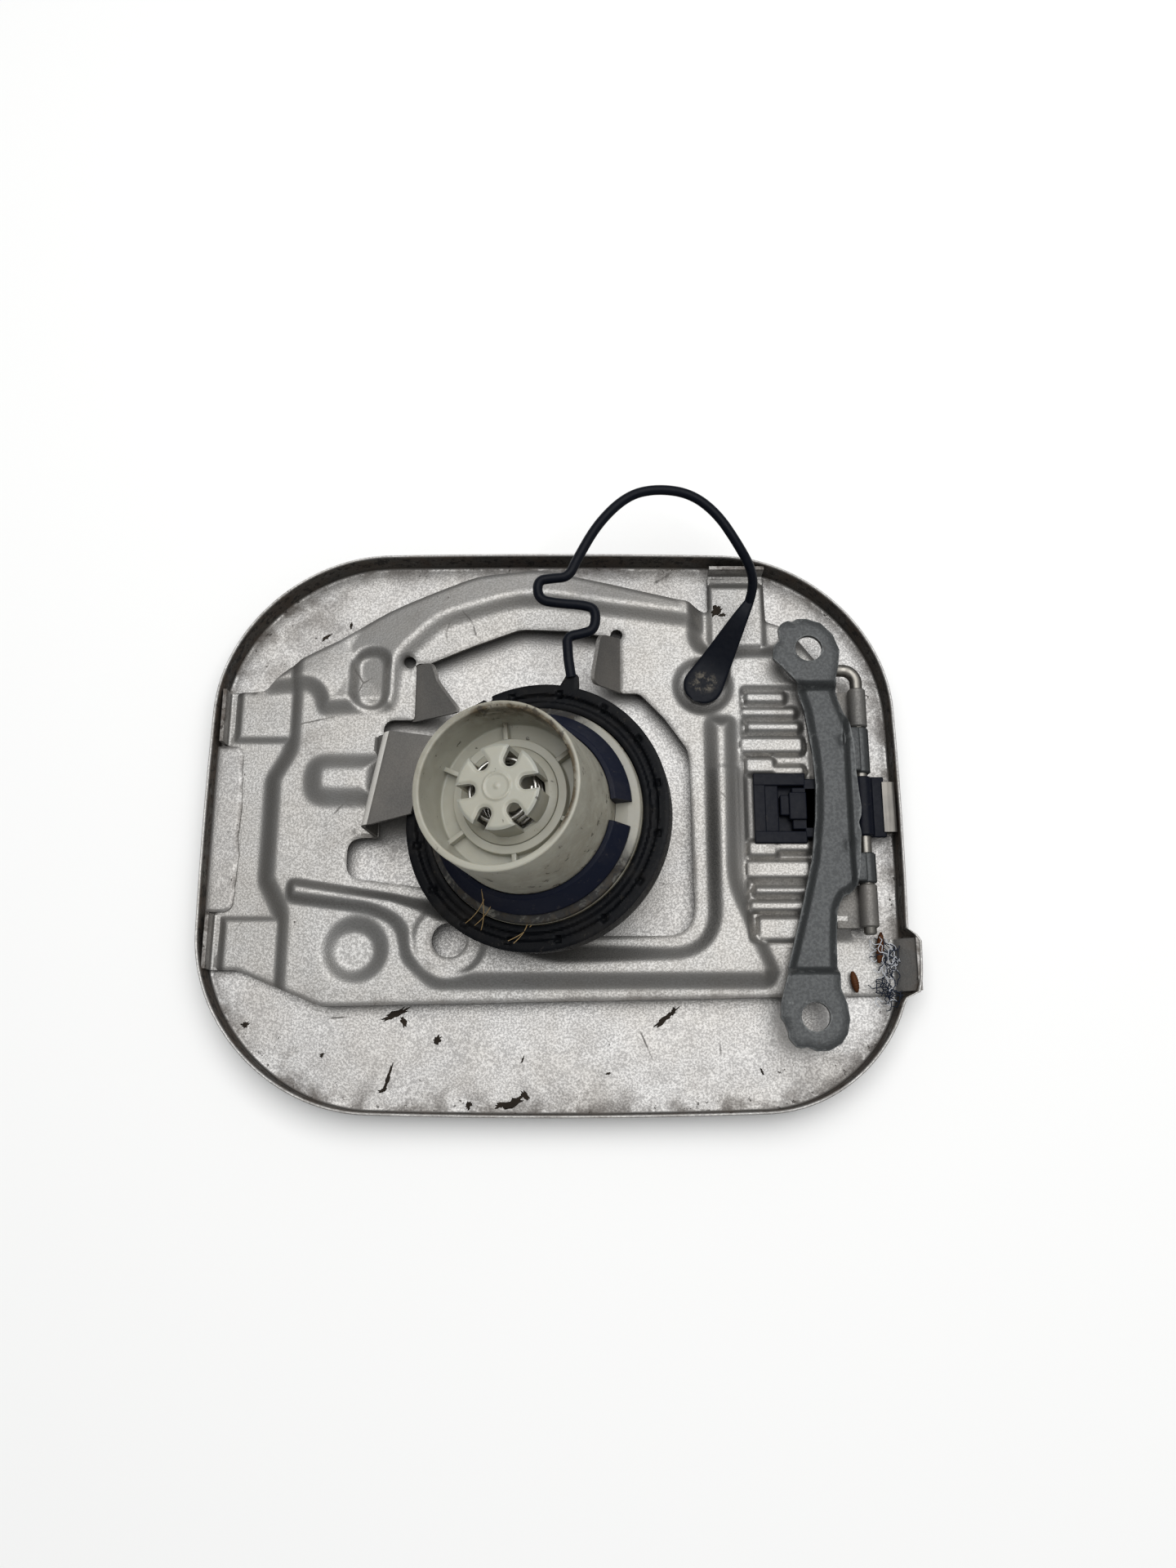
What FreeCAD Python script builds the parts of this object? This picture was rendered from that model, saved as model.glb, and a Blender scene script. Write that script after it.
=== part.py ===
"""Car fuel filler door, lying on its painted face, with its fuel cap parked in the door's cap holder.

X runs across the door from the latch edge to the hinge edge, Y up the door and Z out of its inner side.
The origin is on the floor under the middle of the door. All lengths are millimetres, all angles degrees.
"""
import FreeCAD, Part
import math
import os

os.makedirs("parts", exist_ok=True)
Vector = FreeCAD.Vector
UP = Vector(0, 0, 1)

# Painted outer panel
DOOR_HALF_WIDTH = 89.0
DOOR_HALF_HEIGHT = 73.5
EDGE_BOW = 2.5
TOP_CORNER_RADIUS = 42.0
LATCH_CORNER_RADIUS = 42.0
HINGE_CORNER_RADIUS = 34.0
SKIN = 0.8
CROWN_RADIUS = 2000.0
WALL_HEIGHT = 8.0
WALL_FOOT_ROUND = 2.2
BULGE_REACH = 3.2
BULGE_SILL = 3.4
BULGE_LOW = -45.0
BULGE_HIGH = -29.0

# Pressed inner panel: the top face of each level, and the sheet
SHEET = 0.9
FLANGE_LEVEL = 4.5
PAD_LEVEL = 5.6
MAIN_LEVEL = 7.4
BEAD_HEIGHT = 2.5
RIB_HEIGHT = 1.2
BEAD_LEVEL = MAIN_LEVEL + BEAD_HEIGHT
DIMPLE_DEPTH = 2.2
DISH_DEPTH = 1.8
TAB_WALL_TOP = 9.0
CRIMP_GAP = 0.25
FLOOR_CLEAR = -8.0

# Latch hem: the strip folded in from the skin's wall over the flange of the inner panel
HEM_REACH = 8.0
HEM_LOW = -23.3
HEM_HIGH = 20.4
HEM_LIFT = 0.05

# Hinge line, along Y
HINGE_X = 79.3
PIN_DIAMETER = 3.2
PIN_FIT = 0.05
PIN_LOW = -29.5
PIN_BEND = 36.5
PIN_BEND_RADIUS = 3.5
PIN_TAIL = 4.0
KNUCKLE_BORE = PIN_DIAMETER + 2 * PIN_FIT
PANEL_KNUCKLE_RADIUS = KNUCKLE_BORE / 2 + SHEET
HINGE_Z = MAIN_LEVEL - SHEET + PANEL_KNUCKLE_RADIUS
PANEL_KNUCKLES = ((24.2, 34.6), (-27.8, -17.0))
ARM_KNUCKLES = ((11.8, 23.9), (-16.7, -9.0))
PANEL_EDGE_X = 75.2

# Hinge arm
ARM_SHEET = 1.4
ARM_KNUCKLE_RADIUS = KNUCKLE_BORE / 2 + ARM_SHEET
ARM_LEVEL = HINGE_Z + ARM_KNUCKLE_RADIUS
EAR_RISE = 2.5
EAR_RADIUS = 8.2
EAR_HOLE_RADIUS = 3.5
UPPER_EAR = (66.4, 44.3)
LOWER_EAR = (63.8, -49.9)
EAR_NECK = 33.0
ARM_LIP = 1.6
ARM_LIP_HALF_LENGTH = 30.0

# Check clip and its spring
CLIP_LOW = -4.8
CLIP_HIGH = 10.8
CLIP_LEFT = 52.9
CLIP_PLATE_TOP = 8.6
CLIP_LIP = 1.4
CLIP_GAP = 0.25
CLIP_SADDLE_WALL = 0.8
CLIP_TAIL = 84.6
CLIP_TAIL_THICKNESS = 1.6
WINDOW_RIGHT = 71.0
LEAF = 0.5
LEAF_CURL_RADIUS = 1.5

# Cap, on its own axis: s runs from the top face of the tether ring towards the plug's open end
CAP_X = -4.0
CAP_Y = -2.8
CAP_Z = 26.0
CAP_TILT = 14.0
RUN_GAP = 0.3
RING_RADIUS = 33.0
RING_THICKNESS = 1.8
FLANGE_RADIUS = 26.6
FLANGE_TOP = 0.2
FLANGE_THICKNESS = 2.6
SHELL_RADIUS = 32.6
SHELL_WALL = 2.2
SHELL_DEPTH = 14.0
SHELL_ROUND = 8.0
GRIP_REACH = 8.0
GRIP_HALF_WIDTH = 6.0
GRIP_HALF_LENGTH = 25.0
GRIP_EDGE_ROUND = 2.0
PIVOT_RADIUS = 4.0
PLUG_LENGTH = 30.0
PLUG_ROOT_RADIUS = 20.4
PLUG_END_RADIUS = 19.2
PLUG_WALL = 1.6
PLUG_FLOOR = 15.0
PLUG_FLOOR_THICKNESS = 2.0
COVER_THICKNESS = 1.6
TORQUE_PLATE_RADIUS = 28.6
TORQUE_PLATE_THICKNESS = 2.4
RATCHET_TEETH = 18
COLLAR_RADIUS = 23.6
COLLAR_TOP = 7.0
COLLAR_GAP_ANGLE = 14.0
COLLAR_GAP_DIRECTION = -4.0
GASKET_RADIUS = 25.4
GASKET_THICKNESS = 1.6
RING_NOTCHES = 16

# Valve in the plug
CUP_RADIUS = 13.4
CUP_WALL = 2.0
CUP_TOP = 19.5
SEAT_LEVEL = 8.0
SEAT_THICKNESS = 2.0
SEAT_HOLE_RADIUS = 7.0
SEAL_THICKNESS = 1.2
VALVE_PLATE_THICKNESS = 1.8
VALVE_PLATE_RADIUS = 10.2
VALVE_STEM_RADIUS = 1.4
VALVE_STEM_FIT = 0.2
VALVE_TRAVEL = 2.0
RELIEF_TRAVEL = 1.5
RETAINER_RADIUS = 9.7
RETAINER_WALL = 1.0
RETAINER_TOP = 28.5
RETAINER_FACE = 1.5
RETAINER_SLOTS = 6
RETAINER_SLOT_WIDTH = 3.2
RETAINER_SLOT_START = 6.6
VACUUM_WIRE = 1.0
VACUUM_COIL_RADIUS = 7.4
VACUUM_TURNS = 5
RELIEF_WIRE = 0.6
RELIEF_COIL_RADIUS = 3.0
RELIEF_TURNS = 4
COIL_STEPS = 18

# Tether
CORD_DIAMETER = 3.2
TETHER_ROOT_ANGLE = 72.0
ANCHOR_X = 39.4
ANCHOR_Y = 36.6
ANCHOR_DISC_RADIUS = 5.4
ANCHOR_THICKNESS = 2.4
ANCHOR_STUD_RADIUS = 3.0
ANCHOR_DIMPLE_RADIUS = 8.5
ANCHOR_DIMPLE_DEPTH = 1.6


def outline(corners, level):
    """Closed wire through corners (x, y, radius), each corner an arc of its radius, at one level."""
    count = len(corners)
    stops = []
    for i, (x, y, radius) in enumerate(corners):
        here = Vector(x, y, level)
        before = Vector(corners[i - 1][0], corners[i - 1][1], level) - here
        after = Vector(corners[(i + 1) % count][0], corners[(i + 1) % count][1], level) - here
        before.normalize()
        after.normalize()
        if radius == 0:
            stops.append((here, here, here))
            continue
        half = before.getAngle(after) / 2
        middle = (before + after).normalize()
        reach = radius / math.tan(half)
        bulge = radius / math.sin(half) - radius
        stops.append((here + before * reach, here + middle * bulge, here + after * reach))
    edges = []
    for i, (start, middle, end) in enumerate(stops):
        if start != end:
            edges.append(Part.Arc(start, middle, end).toShape())
        following = stops[(i + 1) % count][0]
        if (following - end).Length > 1e-6:
            edges.append(Part.LineSegment(end, following).toShape())
    return Part.Wire(edges)


def prism(corners, low, high):
    """Upright block with the given rounded outline."""
    return Part.Face(outline(corners, low)).extrude(Vector(0, 0, high - low))


def rounded_box(left, right, low, high, radius):
    return [(left, low, radius), (right, low, radius), (right, high, radius), (left, high, radius)]


def raised(corners, foot, top):
    """Block under a pressed-up area: its sides slope at 45 degrees from the foot level to the top."""
    block = prism(corners, FLOOR_CLEAR, top)
    rim = [edge for edge in block.Edges if abs(edge.BoundBox.ZMin - top) < 1e-6]
    return block.makeChamfer(top - foot, rim)


def sunk_round(x, y, radius, top, depth):
    """Cone that presses a round dimple of the given radius into a level."""
    return Part.makeCone(radius - depth, radius, depth, Vector(x, y, top - depth), UP)


def sunk(corners, top, depth):
    """Pressed-down area with 45 degree sides, as a tool to cut away."""
    floor = outline(corners, top - depth)
    mouth = floor.makeOffset2D(depth).translated(Vector(0, 0, depth))
    return Part.makeLoft([floor, mouth], True, True)


def strip(profile, thickness, low, high):
    """Bent strip: a polyline of (x, z) points with the given thickness, carried along Y from low to high."""
    points = [Vector(x, low, z) for x, z in profile]
    sides = [[], []]
    for i, point in enumerate(points):
        into = (points[i] - points[i - 1]) if i else (points[1] - points[0])
        out = (points[i + 1] - points[i]) if i < len(points) - 1 else into
        into = Vector(into).normalize()
        out = Vector(out).normalize()
        normal_in = Vector(-into.z, 0, into.x)
        normal_out = Vector(-out.z, 0, out.x)
        mitre = (normal_in + normal_out).normalize()
        reach = thickness / 2 / mitre.dot(normal_in)
        sides[0].append(point + mitre * reach)
        sides[1].append(point - mitre * reach)
    loop = sides[0] + sides[1][::-1]
    face = Part.Face(Part.makePolygon(loop + loop[:1]))
    return face.extrude(Vector(0, high - low, 0))


def fused(shapes):
    return shapes[0].multiFuse(list(shapes[1:])).removeSplitter()


def revolved(profile):
    """Solid of revolution round Z from a closed polygon of (radius, height) points."""
    points = [Vector(radius, 0, height) for radius, height in profile]
    face = Part.Face(Part.makePolygon(points + points[:1]))
    return face.revolve(Vector(0, 0, 0), UP, 360)


def tube(outer, inner, low, high):
    return revolved([(inner, low), (outer, low), (outer, high), (inner, high)])


def cylinder_y(x, z, radius, low, high):
    return Part.makeCylinder(radius, high - low, Vector(x, low, z), Vector(0, 1, 0))


def coil(mean_radius, wire, low, high, turns):
    """Compression spring between two heights, its wire drawn as an eight-sided section along a helix."""
    rise = high - low - wire
    slope = math.atan2(rise / turns, 2 * math.pi * mean_radius)
    corners = [math.radians(22.5 + 45 * i) for i in range(8)]
    sections = []
    for step in range(turns * COIL_STEPS + 1):
        turn = 2 * math.pi * step / COIL_STEPS
        out = Vector(math.cos(turn), math.sin(turn), 0)
        across = Vector(math.sin(turn) * math.sin(slope), -math.cos(turn) * math.sin(slope), math.cos(slope))
        middle = out * mean_radius + UP * (low + wire / 2 + rise * step / (turns * COIL_STEPS))
        points = [middle + out * (wire / 2 * math.cos(c)) + across * (wire / 2 * math.sin(c)) for c in corners]
        sections.append(Part.makePolygon(points + points[:1]))
    return Part.makeLoft(sections, True, True)


def cap_place():
    """Place and tilt of the parked cap."""
    return FreeCAD.Placement(Vector(CAP_X, CAP_Y, CAP_Z), FreeCAD.Rotation(Vector(0, 1, 0), -CAP_TILT))


def on_cap_axis(shape):
    """Carry a piece made round Z at the origin to the parked cap."""
    placed = shape.copy()
    placed.Placement = cap_place().multiply(shape.Placement)
    return placed


def door_prism(inset, low, high):
    """Upright block of the door's outline: four bowed sides with rounded corners, drawn in by inset."""
    side = DOOR_HALF_WIDTH - inset
    end = DOOR_HALF_HEIGHT - inset
    x = side - EDGE_BOW
    y = end - EDGE_BOW
    stops = [(-x, -y), (0, -end), (x, -y), (side, 0), (x, y), (0, end), (-x, y), (-side, 0), (-x, -y)]
    points = [Vector(px, py, low) for px, py in stops]
    arcs = [Part.Arc(*points[i:i + 3]).toShape() for i in range(0, 8, 2)]
    block = Part.Face(Part.Wire(arcs)).extrude(Vector(0, 0, high - low))

    def corner(sign_x, sign_y):
        return [e for e in block.Edges if e.BoundBox.ZLength > 1 and e.BoundBox.DiagonalLength < high - low + 1
                and sign_x * e.CenterOfMass.x > 0 and sign_y * e.CenterOfMass.y > 0]

    radii = ((1, 1, TOP_CORNER_RADIUS), (-1, 1, TOP_CORNER_RADIUS),
             (-1, -1, LATCH_CORNER_RADIUS), (1, -1, HINGE_CORNER_RADIUS))
    for sign_x, sign_y, radius in radii:
        block = block.makeFillet(radius - inset, corner(sign_x, sign_y))
    return block


def crown(depth):
    """Ball that the crowned skin follows, seen depth inside the painted face."""
    return Part.makeSphere(CROWN_RADIUS - depth, Vector(0, 0, CROWN_RADIUS))


def foot_edges(block, level):
    return [edge for edge in block.Edges if edge.BoundBox.ZMax < level]


def tab_bulge(inset):
    """Swelling of the wall round the lower hinge-side tab, with a sloping underside."""
    root = DOOR_HALF_WIDTH - 3
    out = DOOR_HALF_WIDTH + BULGE_REACH - inset
    sill = BULGE_SILL + (SKIN if inset else 0)
    slope_top = BULGE_SILL + BULGE_REACH + inset * (math.sqrt(2) - 1)
    top = WALL_HEIGHT + 10
    profile = [(root, sill), (out - slope_top + sill, sill), (out, slope_top), (out, top), (root, top)]
    points = [Vector(x, BULGE_LOW + inset, z) for x, z in profile]
    face = Part.Face(Part.makePolygon(points + points[:1]))
    return face.extrude(Vector(0, BULGE_HIGH - BULGE_LOW - 2 * inset, 0))


def make_outer_panel():
    height = WALL_HEIGHT + 20
    outside = door_prism(0, FLOOR_CLEAR, height).common(crown(0))
    outside = outside.makeFillet(WALL_FOOT_ROUND, foot_edges(outside, WALL_HEIGHT))
    inside = door_prism(SKIN, FLOOR_CLEAR, height).common(crown(SKIN))
    inside = inside.makeFillet(WALL_FOOT_ROUND - SKIN, foot_edges(inside, WALL_HEIGHT))
    outside = outside.fuse(tab_bulge(0))
    inside = inside.fuse(tab_bulge(SKIN))
    panel = outside.cut(inside).cut(crown(WALL_HEIGHT))
    wall_x = -DOOR_HALF_WIDTH + SKIN / 2
    hem_low = FLANGE_LEVEL + HEM_LIFT
    hem = prism([(wall_x, HEM_LOW, 0), (wall_x + HEM_REACH, HEM_LOW, 3), (wall_x + HEM_REACH, HEM_HIGH, 3),
                 (wall_x, HEM_HIGH, 0)], hem_low, hem_low + SKIN)
    return panel.fuse(hem).removeSplitter()


# Outlines pressed into the inner panel, as (x, y, corner radius)
PANEL_OUTLINE = [
    (-86, -38, 1), (-79, -38, 4), (-57, -47, 8), (85.5, -44.2, 1), (85.5, -30, 1), (PANEL_EDGE_X, -30, 2),
    (PANEL_EDGE_X, 36, 3), (61, 54.5, 5), (57, 55.8, 0), (56.6, 69.5, 1.5), (41.5, 70.6, 1.5), (41.5, 58.2, 1),
    (15, 64.9, 30), (-4, 69.2, 20), (-21, 67.3, 20), (-44, 57.5, 60), (-70, 41.5, 15), (-76.5, 35.3, 4),
    (-86, 35.3, 1)]
MAIN_AREA = [
    (-71.5, -60, 0), (69, -60, 0), (69, -31.5, 2), (100, -31.5, 0), (100, 80, 0), (59.5, 80, 0), (59.5, 49.5, 2),
    (38.5, 49.5, 2), (38.5, 90, 0), (-71.5, 90, 0), (-71.5, 20, 6), (-75.8, 12, 6), (-75.8, -16, 6), (-71.5, -24, 6)]
PADS = [rounded_box(-84.5, -66, HEM_HIGH + 0.5, 45, 0), rounded_box(-84.5, -66, -50, HEM_LOW - 0.5, 0),
        rounded_box(40.5, 57.6, 47, 67, 0)]
FRAME_BEAD = [
    (-67.5, -14.2, 3.2), (-31, -20, 20), (0, -31.8, 20), (38.4, -31.6, 9), (38.4, 29, 4), (48.8, 29, 4),
    (48.2, -16, 20), (57.5, -38, 4), (55, -43.3, 4), (-30, -43.5, 8), (-37.8, -36, 8), (-39.5, -27, 8),
    (-46.5, -24.2, 15), (-67.5, -21.4, 3.2)]
TOP_RIDGE = [
    (-80, 33.5, 0), (-64, 34.2, 3), (-62, 27.0, 5), (-40, 28.6, 4), (-38.8, 41.5, 12), (-28.5, 51.6, 12),
    (-7, 58.2, 30), (15, 54.8, 60), (40.5, 51.2, 0), (40.5, 90, 0), (-80, 90, 0)]
STIFFENER = [(-64.5, 3.2, 6.5), (-47.5, 3.2, 3), (-47.5, 18, 3), (-64.5, 18, 6.5)]
POCKET = rounded_box(-52.4, -44.2, 31.6, 44.8, 3.8)
LADDER_RIBS = (33.1, 28.9, 24.9, 20.3, -12.8, -18.2, -22.4, -27.4)
LADDER_LEFT = 50.2
LADDER_RIGHT = 64.6
RIB_FOOT = 3.4
DIMPLE = (-49.4, -33.1, 8.8)
DISH = (-25.6, -30.8, 10.4)
DISH_HOLE_RADIUS = 4.3
BRACKET_X = -45.0
BRACKET_LOW = -4.6
BRACKET_HIGH = 22.2
BRACKET_TIP = -32.2
FINGER_LEFT_X = -36.5
FINGER_RIGHT_X = 17.5
CUTOUT = [
    (-52.4, -4.6, 4), (-52.4, -14.8, 4), (-31, -17.6, 15), (3, -29.6, 12), (36, -29.6, 8), (35.3, 18.5, 8),
    (29, 27.5, 5), (22.5, 34.4, 3), (FINGER_RIGHT_X, 34.4, 0), (FINGER_RIGHT_X, 50, 1.5), (3, 52, 8),
    (-9, 52.5, 10), (-22, 47.5, 15), (-33, 42.7, 2), (FINGER_LEFT_X, 42.7, 0), (FINGER_LEFT_X, 27, 0),
    (BRACKET_X + 0.5, 27, 3), (BRACKET_X + 0.5, -4.6, 0)]
RELIEF_HOLES = ((-38.2, 42.9), (16.6, 50.8))
RELIEF_HOLE_RADIUS = 1.6


def panel_levels():
    """Block whose top face is the inner panel's whole pressed surface."""
    ribs = [raised(rounded_box(LADDER_LEFT, LADDER_RIGHT, y - RIB_FOOT / 2, y + RIB_FOOT / 2, 0),
                   MAIN_LEVEL, MAIN_LEVEL + RIB_HEIGHT) for y in LADDER_RIBS]
    block = fused([prism(rounded_box(-95, 95, -60, 90, 0), FLOOR_CLEAR, FLANGE_LEVEL),
                   raised(MAIN_AREA, FLANGE_LEVEL, MAIN_LEVEL)]
                  + [raised(pad, FLANGE_LEVEL, PAD_LEVEL) for pad in PADS]
                  + [raised(area, MAIN_LEVEL, BEAD_LEVEL) for area in (FRAME_BEAD, TOP_RIDGE, STIFFENER)]
                  + ribs)
    tools = [sunk_round(*DIMPLE, MAIN_LEVEL, DIMPLE_DEPTH), sunk_round(*DISH, BEAD_LEVEL, DISH_DEPTH),
             sunk(POCKET, BEAD_LEVEL, BEAD_HEIGHT),
             sunk_round(ANCHOR_X, ANCHOR_Y, ANCHOR_DIMPLE_RADIUS, MAIN_LEVEL, ANCHOR_DIMPLE_DEPTH)]
    return block.cut(tools)


def finger(root_x, corners, lean):
    """Holder finger: a plate of (y, z) corners standing on the main level, leaning over by an angle."""
    points = [Vector(root_x, y, z) for y, z in corners]
    plate = Part.Face(Part.makePolygon(points + points[:1])).extrude(Vector(SHEET, 0, 0))
    plate.rotate(Vector(root_x, 0, MAIN_LEVEL - SHEET), Vector(0, 1, 0), lean)
    return plate


def ring_height(x):
    """Height of the parked tether ring's top face at x, on the cap's middle line."""
    return CAP_Z + (x - CAP_X) * math.tan(math.radians(CAP_TILT))


def make_inner_panel():
    block = panel_levels()
    sheet = block.cut(block.translated(Vector(0, 0, -SHEET)))
    sheet = sheet.common(prism(PANEL_OUTLINE, FLANGE_LEVEL - 3 * SHEET, BEAD_LEVEL + SHEET))
    middle = SHEET / 2
    lift = (RUN_GAP + middle) / math.cos(math.radians(CAP_TILT))
    bracket = strip([(BRACKET_X - 2.5, MAIN_LEVEL - middle), (BRACKET_X, MAIN_LEVEL - middle),
                     (BRACKET_X, ring_height(BRACKET_X) + lift), (BRACKET_TIP, ring_height(BRACKET_TIP) + lift)],
                    SHEET, BRACKET_LOW, BRACKET_HIGH)
    fingers = [finger(FINGER_LEFT_X - SHEET, [(42.4, MAIN_LEVEL - SHEET), (43, 11.5), (28.5, 17.5),
                                              (27.4, MAIN_LEVEL - SHEET)], 25),
               finger(FINGER_RIGHT_X, [(34.8, MAIN_LEVEL - SHEET), (35.2, 16.5), (47.5, 15.5),
                                       (49.6, MAIN_LEVEL - SHEET)], -32)]
    wall_x = -DOOR_HALF_WIDTH + SKIN + CRIMP_GAP
    left_tabs = [strip([(-84.5, FLANGE_LEVEL - middle), (wall_x + EDGE_BOW / 2 + middle, FLANGE_LEVEL - middle),
                        (wall_x + EDGE_BOW / 2 + middle, TAB_WALL_TOP)], SHEET, low, high)
                 for low, high in ((HEM_HIGH + 0.4, 35.0), (-37.8, HEM_LOW - 0.7))]
    top_tab = Part.makeBox(14.7, SHEET, TAB_WALL_TOP - FLANGE_LEVEL + SHEET, Vector(41.7, 69.0, FLANGE_LEVEL - SHEET))
    side_x = DOOR_HALF_WIDTH + BULGE_REACH - SKIN - CRIMP_GAP - middle
    side_run = 4.8
    side_tab = strip([(side_x - side_run - 2, FLANGE_LEVEL - middle), (side_x - side_run, FLANGE_LEVEL - middle),
                      (side_x, FLANGE_LEVEL - middle + side_run), (side_x, TAB_WALL_TOP + 1)], SHEET, -43.2, -30.2)
    webs = [Part.makeBox(HINGE_X - PANEL_EDGE_X + 4, high - low, SHEET,
                         Vector(PANEL_EDGE_X - 4, low, MAIN_LEVEL - SHEET)) for low, high in PANEL_KNUCKLES]
    rolls = [cylinder_y(HINGE_X, HINGE_Z, PANEL_KNUCKLE_RADIUS, low, high) for low, high in PANEL_KNUCKLES]
    panel = sheet.cut(prism(CUTOUT, 0, BEAD_LEVEL + 1))
    panel = fused([panel, bracket, top_tab, side_tab] + fingers + left_tabs + webs + rolls)
    window = prism(rounded_box(CLIP_LEFT - CLIP_GAP, WINDOW_RIGHT, CLIP_LOW - CLIP_GAP, CLIP_HIGH + CLIP_GAP, 0.6),
                   0, BEAD_LEVEL + 1)
    holes = [Part.makeCylinder(RELIEF_HOLE_RADIUS, 20, Vector(x, y, 0), UP) for x, y in RELIEF_HOLES]
    dish_hole = Part.makeCylinder(DISH_HOLE_RADIUS, 20, Vector(DISH[0], DISH[1], 0), UP)
    stud_hole = Part.makeCylinder(ANCHOR_STUD_RADIUS + RUN_GAP, 20, Vector(ANCHOR_X, ANCHOR_Y, 0), UP)
    pin_hole = cylinder_y(HINGE_X, HINGE_Z, KNUCKLE_BORE / 2, -40, 40)
    return panel.cut(holes + [window, dish_hole, stud_hole, pin_hole])


def make_hinge_pin():
    """Wire pin whose upper end is bent over towards the arm."""
    bend = PIN_BEND_RADIUS
    turn = bend * (1 - math.sqrt(0.5))
    points = [Vector(HINGE_X, PIN_LOW, HINGE_Z), Vector(HINGE_X, PIN_BEND, HINGE_Z),
              Vector(HINGE_X - turn, PIN_BEND + bend * math.sqrt(0.5), HINGE_Z)]
    slant = Vector(-1, 1, 0).normalize()
    middle = Vector(HINGE_X - bend + bend * math.cos(math.pi / 8), PIN_BEND + bend * math.sin(math.pi / 8), HINGE_Z)
    path = Part.Wire([Part.LineSegment(points[0], points[1]).toShape(),
                      Part.Arc(points[1], middle, points[2]).toShape(),
                      Part.LineSegment(points[2], points[2] + slant * PIN_TAIL).toShape()])
    section = Part.Wire(Part.makeCircle(PIN_DIAMETER / 2, points[0], Vector(0, 1, 0)))
    return path.makePipeShell([section], True, False)


def arm_area():
    """Plan of the hinge arm: a crescent between two round ears."""
    left = Part.Arc(Vector(59.5, 40, 0), Vector(66.9, 0, 0), Vector(56.4, -46, 0)).toShape()
    right = Part.Arc(Vector(70.5, -44, 0), Vector(76.0, 0, 0), Vector(73.2, 38.5, 0)).toShape()
    ends = left.Vertexes[0].Point, left.Vertexes[-1].Point, right.Vertexes[0].Point, right.Vertexes[-1].Point
    lower = Part.LineSegment(ends[1], ends[2]).toShape()
    upper = Part.LineSegment(ends[3], ends[0]).toShape()
    return Part.Face(Part.Wire([left, lower, right, upper]))


def make_hinge_arm():
    depth = ARM_LEVEL - FLOOR_CLEAR
    crescent = arm_area().extrude(Vector(0, 0, depth + EAR_RISE + 1)).translated(Vector(0, 0, FLOOR_CLEAR))
    ears = [Part.makeCylinder(EAR_RADIUS, depth + EAR_RISE + 1, Vector(x, y, FLOOR_CLEAR), UP)
            for x, y in (UPPER_EAR, LOWER_EAR)]
    plan = fused([crescent] + ears)
    levels = fused([prism(rounded_box(40, 90, -70, 70, 0), FLOOR_CLEAR, ARM_LEVEL),
                    raised(rounded_box(40, 90, EAR_NECK, 80, 0), ARM_LEVEL, ARM_LEVEL + EAR_RISE),
                    raised(rounded_box(40, 90, -80, -EAR_NECK - 4, 0), ARM_LEVEL, ARM_LEVEL + EAR_RISE)])
    sheet = levels.cut(levels.translated(Vector(0, 0, -ARM_SHEET))).common(plan)
    rim = arm_area()
    core = Part.Face(rim.OuterWire.makeOffset2D(-ARM_SHEET))
    lip_low = ARM_LEVEL - ARM_SHEET - ARM_LIP
    lip = rim.cut(core).extrude(Vector(0, 0, ARM_LIP + ARM_SHEET / 2)).translated(Vector(0, 0, lip_low))
    lip = lip.common(Part.makeBox(12, 2 * ARM_LIP_HALF_LENGTH, 40, Vector(58, -ARM_LIP_HALF_LENGTH, 0)))
    rolls = [cylinder_y(HINGE_X, HINGE_Z, ARM_KNUCKLE_RADIUS, low, high) for low, high in ARM_KNUCKLES]
    webs = [Part.makeBox(HINGE_X - 72, high - low, ARM_SHEET, Vector(72, low, ARM_LEVEL - ARM_SHEET))
            for low, high in ARM_KNUCKLES]
    arm = fused([sheet, lip] + rolls + webs)
    holes = [Part.makeCylinder(EAR_HOLE_RADIUS, 40, Vector(x, y, 0), UP) for x, y in (UPPER_EAR, LOWER_EAR)]
    return arm.cut(holes + [cylinder_y(HINGE_X, HINGE_Z, KNUCKLE_BORE / 2, -40, 40)])


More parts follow.
